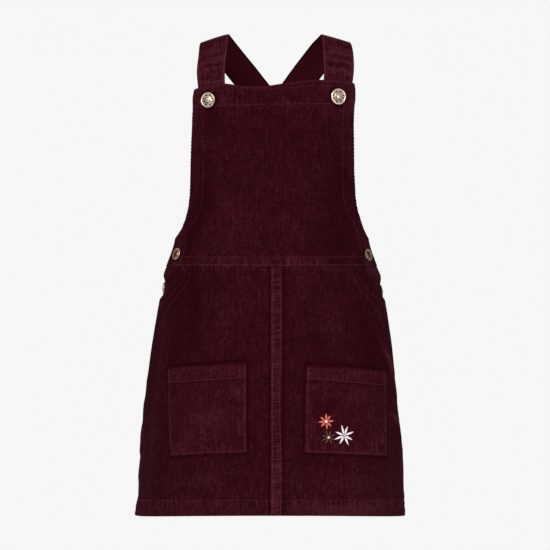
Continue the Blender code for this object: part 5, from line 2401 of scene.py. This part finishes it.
@dataclass
class Pinafore:
    """The whole dress."""

    def finishes(self) -> None:
        """Makes the cloth, thread and metal that the pieces share."""
        self.cloth = {name: Corduroy("corduroy_" + name, shade=shade, cut=cut).make()
                      for name, shade, cut in (("bib", 1.0, 1.1), ("skirt", 1.0, 1.0), ("pocket", 1.14, 0.72),
                                               ("side", 1.0, 1.0), ("back", 1.0, 1.0))}
        # The straps are painted lighter and greyer than the other pieces: painted highlight and sheen where
        # they face up into the light.
        self.cloth["strap"] = Corduroy("corduroy_strap", worn_and_highlit=(0.085, 0.0225, 0.0310),
                                       shade=1.30, cut=0.7).make()
        self.seam_thread = Yarn("burgundy_thread", (0.140, 0.034, 0.048), (0.065, 0.012, 0.019),
                                0.8, 0.05).make()
        self.brass = Brass("pale_brass").make()
        self.bronze = Brass("dark_brass", (0.76, 0.455, 0.345), (0.028, 0.009, 0.005), 4.6).make()

    def bodice(self) -> None:
        """Builds the bodice front and back."""
        left = curve((-70.5, -54.0), (-76.8, -70.0), (-76.4, -105.0), (-76.2, -147.0), (-79.0, -173.0),
                     (-87.5, -190.5), (-96.5, -199.5), (-98.4, -206.0), (-99.0, -220.0), (-103.0, -229.0),
                     (-105.0, -236.5))
        right = curve((74.5, -50.0), (75.2, -63.6), (76.0, -116.0), (76.8, -157.6), (80.8, -175.3),
                      (90.5, -191.5), (101.0, -207.0), (102.4, -219.0), (108.0, -225.0), (115.5, -236.0))
        seams = (
            Seam(curve((-71.5, -55.0), (-36.0, -52.2), (-1.7, -52.4), (37.0, -49.4), (74.5, -49.6)),
                 0.26, 0.7, 0.08, 3.0, 5.0, 0, 0.26, 31),
            Seam(curve((-76.0, -70.5), (-63.0, -69.6), (-1.3, -68.4), (75.0, -66.8)),
                 0.3, 0.75, 0.10, 4.5, 6.0, 1, 0.30, 37),
            Seam(left, 0.26, 0.75, 0.13, 3.2, 4.4, 0, 0.20, 41),
            Seam(right, 0.26, 0.75, 0.13, 3.2, 4.4, 0, 0.30, 43),
            WAIST_STITCHES,
            WAIST_EDGE,
        )
        # The last number of a crease, where given, is its painted light (above 0) or painted shade (below 0).
        creases = (
            Crease(69.0, -150.0, 0.0, 36.0, 10.0, -0.4, -0.16),
            Crease(75.0, -208.0, 10.0, 26.0, 15.0, -0.4, -0.19),
            Crease(-42.0, -196.0, 0.0, 26.0, 18.0, 0.3, 0.10),
            Crease(-14.0, -106.0, 90.0, 32.0, 14.0, 0.0, -0.10),
            Crease(-77.0, -172.0, 14.0, 34.0, 8.0, -0.5, -0.36),
            Crease(-67.0, -84.0, 0.0, 14.0, 9.0, -0.4, -0.22),
            Crease(-108.0, -219.0, 6.0, 20.0, 5.5, 0.0, 0.26),
            Crease(112.0, -221.0, -6.0, 22.0, 5.5, 0.0, 0.26),
            Crease(-70.0, -196.0, 55.0, 20.0, 5.0, 0.5),
            Crease(-91.0, -205.0, 16.0, 22.0, 6.0, -0.5, -0.30),
            Crease(-30.0, -110.0, 80.0, 30.0, 9.0, 0.4),
            Crease(18.0, -190.0, -12.0, 34.0, 10.0, 0.5),
            Crease(-8.0, -215.0, 6.0, 16.0, 5.0, -0.4),
            Crease(88.0, -222.0, 75.0, 16.0, 3.5, 0.45),
            Crease(-90.0, -222.0, -75.0, 16.0, 3.5, 0.45),
            Crease(52.0, -72.0, 35.0, 12.0, 4.0, -0.35),
            Crease(-55.0, -76.0, -35.0, 12.0, 4.0, -0.35),
        )
        BibFront("bib_front", self.cloth["bib"], seams, creases, Held.STRETCHED,
                 ("strap_left", "strap_right"), self.seam_thread).build()
        armhole = Seam(curve((-62.6, -128.6), (-65.0, -141.1), (-72.3, -162.0), (-83.6, -178.8),
                             (-95.3, -191.2), (-105.3, -199.5), (-115.0, -206.9)),
                       0.26, 0.75, 0.12, 3.2, 4.4, 0, 0.5, 57)
        back_seams = (
            Seam(curve((-61.8, -125.2), (-30.0, -124.4), (0.0, -125.0), (30.0, -124.4), (61.8, -125.2)),
                 0.26, 0.7, 0.10, 3.0, 5.0, 0, 0.5, 51),
            Seam(curve((-64.4, -138.0), (0.0, -138.6), (64.4, -138.0)),
                 0.3, 0.75, 0.14, 4.5, 6.0, 1, 0.5, 53),
            armhole,
            mirrored(armhole, 59),
            Seam(((-131.4, -228.2), (0.0, -228.8), (131.4, -228.2)),
                 0.3, 0.8, 0.24, 4.0, 3.8, -1, 0.5, 61, 0.4),
            Seam(((-133.6, -235.4), (0.0, -235.8), (133.6, -235.4)),
                 0.3, 0.8, 0.36, 5.2, 3.9, 1, 0.5, 67, 0.6),
        )
        back_creases = (
            Crease(-55.0, -165.0, 25.0, 26.0, 8.0, -0.6),
            Crease(48.0, -172.0, -18.0, 28.0, 8.0, -0.7),
            Crease(8.0, -190.0, 8.0, 30.0, 10.0, 0.5),
            Crease(-20.0, -214.0, -10.0, 16.0, 6.0, -0.4),
            Crease(92.0, -205.0, 60.0, 18.0, 5.0, 0.4),
            Crease(-98.0, -208.0, -62.0, 18.0, 5.0, 0.4),
        )
        BackBib("back_bib", self.cloth["back"], back_seams, back_creases, Held.STRETCHED,
                ("strap_left", "strap_right"), self.seam_thread).build()

    def skirt(self) -> None:
        """Builds the skirt, the hip pieces and the plackets behind the side openings."""
        hem = HEM + HEM_DEPTH
        beside = Seam(((-1.0, -238.6), (-1.0, -494.0)), 0.0, 0.8, 0.16, 5.0, 3.4, 0, 0.0, 89)
        hem_left = Seam(curve((-204.0, hem - 3.4), (-150.0, hem - 2.2), (-75.0, hem - 0.9), (0.0, hem - 0.6)),
                        0.3, 0.8, 0.22, 6.5, 5.2, -1, 0.32, 71)
        hem_right = Seam(curve((-1.0, hem - 0.6), (80.0, hem - 0.9), (150.0, hem - 2.2), (204.0, hem - 3.4)),
                         0.3, 0.8, 0.22, 6.5, 5.2, -1, 0.32, 73)
        left_mouth = curve((-94.5, -243.1), (-97.0, -249.4), (-104.0, -257.2), (-116.0, -267.0),
                           (-130.0, -273.5), (-150.0, -278.5))
        right_mouth = curve((93.2, -243.1), (97.7, -250.4), (104.0, -258.5), (114.5, -267.0), (126.0, -273.5),
                            (148.0, -278.5))
        left_bag = curve((-88.7, -243.1), (-91.8, -251.4), (-99.5, -262.2), (-111.0, -273.2),
                         (-121.0, -282.5), (-127.5, -294.0), (-131.5, -304.5))
        right_bag = curve((87.0, -243.1), (91.0, -253.4), (98.5, -263.8), (109.8, -273.2), (121.3, -283.4),
                          (128.0, -293.9), (132.5, -303.3))
        # The last number of a crease, where given, is its painted light (above 0) or painted shade (below 0).
        creases_left = (
            Crease(-86.0, -284.0, 6.0, 42.0, 6.5, -0.6, -0.34),
            Crease(-104.0, -316.0, 14.0, 24.0, 6.0, -0.7, -0.30),
            Crease(-99.0, -253.0, 41.0, 17.0, 6.5, 0.0, -0.42),
            Crease(-102.0, -262.0, 36.0, 24.0, 12.0, 0.0, -0.26),
            Crease(-147.0, -345.0, 10.0, 60.0, 9.0, 0.0, -0.24),
            Crease(-138.0, -428.0, 4.0, 54.0, 9.0, 0.0, 0.16),
            Crease(-84.0, -461.0, 84.0, 26.0, 3.4, 0.4, 0.13),
            Crease(-80.0, -472.0, 96.0, 24.0, 3.0, -0.3, -0.10),
            Crease(-30.0, -262.0, -8.0, 18.0, 6.0, 0.5),
            Crease(-52.0, -300.0, 6.0, 34.0, 7.0, 0.5),
            Crease(-150.0, -330.0, 12.0, 50.0, 9.0, -0.9),
            Crease(-128.0, -450.0, 6.0, 30.0, 8.0, -0.7),
            Crease(-60.0, -460.0, -4.0, 26.0, 9.0, 0.6),
            Crease(-170.0, -440.0, 8.0, 40.0, 9.0, 0.8),
        )
        # The last number of a crease, where given, is its painted light (above 0) or painted shade (below 0).
        creases_right = (
            Crease(100.0, -250.0, -40.0, 13.0, 4.0, 0.0, -0.22),
            Crease(101.0, -286.0, -10.0, 46.0, 12.0, -0.3, -0.12),
            Crease(110.0, -322.0, -4.0, 18.0, 12.0, 0.0, -0.20),
            Crease(148.0, -300.0, -8.0, 44.0, 7.0, 0.0, 0.30),
            Crease(140.0, -428.0, -4.0, 54.0, 9.0, 0.0, 0.10),
            Crease(164.0, -450.0, -6.0, 26.0, 6.0, 0.0, 0.24),
            Crease(99.0, -262.0, -30.0, 20.0, 9.0, 0.0, 0.24),
            Crease(80.0, -489.0, 90.0, 52.0, 8.0, 0.0, 0.32),
            Crease(84.0, -462.0, 90.0, 60.0, 16.0, 0.0, 0.10),
            Crease(140.5, -337.0, -32.0, 19.0, 3.0, 0.6, 0.85),
            Crease(133.5, -340.0, -32.0, 19.0, 3.0, -0.3, -0.20),
            Crease(155.5, -399.0, -54.0, 13.0, 3.0, 0.6, 0.80),
            Crease(47.0, -320.0, -6.0, 20.0, 5.0, -0.5),
            Crease(30.0, -262.0, 8.0, 18.0, 6.0, 0.5),
            Crease(64.0, -300.0, -6.0, 34.0, 7.0, 0.5),
            Crease(150.0, -330.0, -12.0, 50.0, 9.0, -0.9),
            Crease(15.0, -488.0, -8.0, 16.0, 2.6, -0.9),
            Crease(90.0, -460.0, 4.0, 26.0, 9.0, 0.6),
            Crease(172.0, -440.0, -8.0, 40.0, 9.0, 0.8),
        )
        centre = Seam(((8.8, -238.4), (8.8, -330.0), (9.4, -430.0), (9.8, -494.0)),
                      0.3, 0.8, 0.36, 6.5, 3.3, -1, 0.5, 81, 0.35)
        fold = Seam(((1.2, -238.4), (1.2, -494.0)), 0.26, 0.7, 0.26, 3.6, 3.3, 1, 0.5, 83, 1.0)
        SkirtFront("skirt_front_right", self.cloth["skirt"],
                   (centre, fold, hem_right, WAIST_UNDER,
                    Seam(right_mouth, 0.26, 0.7, 0.12, 3.0, 4.6, 0, 0.26, 85),
                    Seam(right_bag, 0.26, 0.7, 0.16, 4.0, 5.0, 0, 0.28, 87)),
                   creases_right, Held.HUNG, ("bib_front",), self.seam_thread, sign=1).build()
        SkirtFront("skirt_front_left", self.cloth["skirt"],
                   (hem_left, beside, WAIST_UNDER,
                    Seam(left_mouth, 0.26, 0.7, 0.12, 3.0, 4.6, 0, 0.19, 91),
                    Seam(left_bag, 0.26, 0.7, 0.16, 4.0, 5.0, 0, 0.24, 93)),
                   creases_left, Held.HUNG, ("bib_front",), self.seam_thread, sign=-1).build()
        back_hem = Seam(curve((-172.0, hem - 3.4), (-90.0, hem - 1.6), (0.0, hem - 0.6), (90.0, hem - 1.6),
                              (172.0, hem - 3.4)), 0.3, 0.8, 0.22, 6.5, 5.2, -1, 0.32, 95)
        back_creases = (
            Crease(-60.0, -300.0, 6.0, 40.0, 9.0, 0.8),
            Crease(70.0, -290.0, -8.0, 36.0, 9.0, 0.7),
            Crease(-110.0, -380.0, 10.0, 46.0, 9.0, -0.9),
            Crease(20.0, -400.0, 3.0, 50.0, 10.0, 0.8),
            Crease(118.0, -420.0, -9.0, 46.0, 9.0, -0.8),
            Crease(-24.0, -460.0, -5.0, 30.0, 8.0, -0.7),
        )
        SkirtBack("skirt_back", self.cloth["back"], (back_hem, WAIST_UNDER), back_creases, Held.HUNG,
                  ("back_bib",), self.seam_thread).build()
        for name, sign in (("left", -1), ("right", 1)):
            HipSide("hip_side_" + name, self.cloth["side"], held=Held.HUNG, rests_on=("skirt_front_" + name,),
                    sign=sign).build()
            Placket("placket_" + name, self.cloth["side"], held=Held.HUNG, rests_on=("back_bib",),
                    sign=sign).build()

    def pockets(self) -> None:
        """Builds both patch pockets and the flowers on the right one."""
        lines = {
            "patch_pocket_left": (
                ((-112.5, -345.0), (-110.6, -390.0), (-108.2, -426.5), (-106.0, -431.4), (-66.0, -430.2),
                 (-28.0, -428.8), (-27.4, -390.0), (-27.6, -340.4)),
                curve((-105.0, -361.0), (-103.8, -390.0), (-100.8, -425.6), (-66.0, -423.2), (-34.2, -421.4),
                      (-34.2, -390.0), (-34.4, -356.0)),
                curve((-113.5, -358.4), (-70.0, -355.6), (-26.0, -352.6)),
            ),
            "patch_pocket_right": (
                ((130.0, -349.4), (129.4, -390.0), (128.2, -432.4), (80.0, -430.6), (37.8, -428.6),
                 (38.4, -390.0), (38.8, -342.0)),
                curve((122.6, -363.4), (122.2, -390.0), (121.2, -426.2), (80.0, -424.0), (44.4, -421.4),
                      (45.2, -390.0), (45.6, -357.0)),
                curve((38.2, -353.6), (84.0, -357.6), (131.0, -361.8)),
            ),
        }
        # The last number of a crease is its painted light (above 0) or painted shade (below 0).
        creases = {
            "patch_pocket_left": (Crease(-70.0, -400.0, 8.0, 22.0, 20.0, 0.4, 0.15),
                                  Crease(-98.0, -424.0, 60.0, 16.0, 8.0, 0.0, 0.14),
                                  Crease(-38.0, -364.0, 0.0, 8.0, 6.0, 0.3, 0.14)),
            "patch_pocket_right": (Crease(84.0, -390.0, 0.0, 50.0, 50.0, 0.0, 0.07),
                                   Crease(58.0, -384.0, 54.0, 20.0, 6.0, -0.5, -0.14),
                                   Crease(114.0, -420.0, 50.0, 18.0, 9.0, 0.3, 0.14),
                                   Crease(96.0, -372.0, 80.0, 24.0, 6.0, 0.2, 0.08)),
        }
        for name, (edge, inner, turned) in lines.items():
            seed = 101 if name.endswith("left") else 131
            seams = (
                Seam(edge, 0.28, 0.75, 0.12, 2.4, 3.4, 0, 0.28, seed),
                Seam(inner, 0.14, 1.0, 0.30, 2.6, 3.3, 0, 0.0, seed + 3),
                Seam(turned, 0.3, 0.75, 0.14, 3.4, 5.0, 0, 0.5, seed + 7),
            )
            pocket = PatchPocket(name, self.cloth["pocket"], seams, creases[name], Held.LAID,
                                 (name.replace("patch_pocket", "skirt_front"),), self.seam_thread,
                                 corners=pocket_corners(name))
            pocket.build()
            if name.endswith("right"):
                self.flowers(pocket)

    def flowers(self, pocket: PatchPocket) -> None:
        """Sews the three flowers on a pocket.

        Args:
            pocket: The pocket.
        """
        orange = Yarn("orange_floss", (0.66, 0.135, 0.080), (0.36, 0.030, 0.016), 0.42).make()
        white = Yarn("white_floss", (0.93, 0.86, 0.89), (0.62, 0.50, 0.54), 0.42).make()
        olive = Yarn("olive_floss", (0.135, 0.080, 0.040), (0.06, 0.034, 0.018), 0.5).make()
        cream = Yarn("cream_floss", (0.92, 0.80, 0.62), (0.62, 0.50, 0.34), 0.42).make()
        Daisy(57.1, -398.5, 8.0, 1.5, 2.7, 6, 4.0, orange, cream).sew("orange_daisy", pocket, pocket.name)
        Daisy(76.4, -413.2, 10.8, 0.8, 2.6, 6, 20.0, white, white).sew("white_daisy", pocket, pocket.name)
        Daisy(59.6, -415.1, 7.2, 1.2, 0.62, 1, 24.0, olive, cream).sew("olive_daisy", pocket, pocket.name)

    def straps(self) -> None:
        """Builds the straps."""
        for name, stations, side in (("strap_left", STRAP_LEFT, 1), ("strap_right", STRAP_RIGHT, -1)):
            seed = 151 if side > 0 else 163
            edge = 3.2
            strap = Strap(name, self.cloth["strap"], (), (), Held.STRETCHED, ("bib_front", "back_bib"),
                          self.seam_thread, stations=stations, side=side)
            strap.seams = tuple(
                Seam(((s, 1.0), (s, strap.length - 1.0)), 0.28, 0.75, 0.16, 3.0, ripple, 0, 0.5, own_seed)
                for s, ripple, own_seed in ((edge, 4.0, seed), (STRAP_WIDTH - edge, 4.2, seed + 5)))
            strap.build()

    def buttons(self) -> None:
        """Builds the tack buttons."""
        for name in BUTTONS:
            metal = self.brass if name.startswith("strap") else self.bronze
            TackButton(name, metal, TARNISH.get(name, 0.0)).build()


def main() -> None:
    """Builds the dress and its studio."""
    logging.basicConfig(level=logging.INFO, format="%(message)s")
    dress = Pinafore()
    dress.finishes()
    dress.straps()
    dress.bodice()
    dress.skirt()
    dress.pockets()
    dress.buttons()
    Studio().build()


if __name__ == "__main__":
    main()
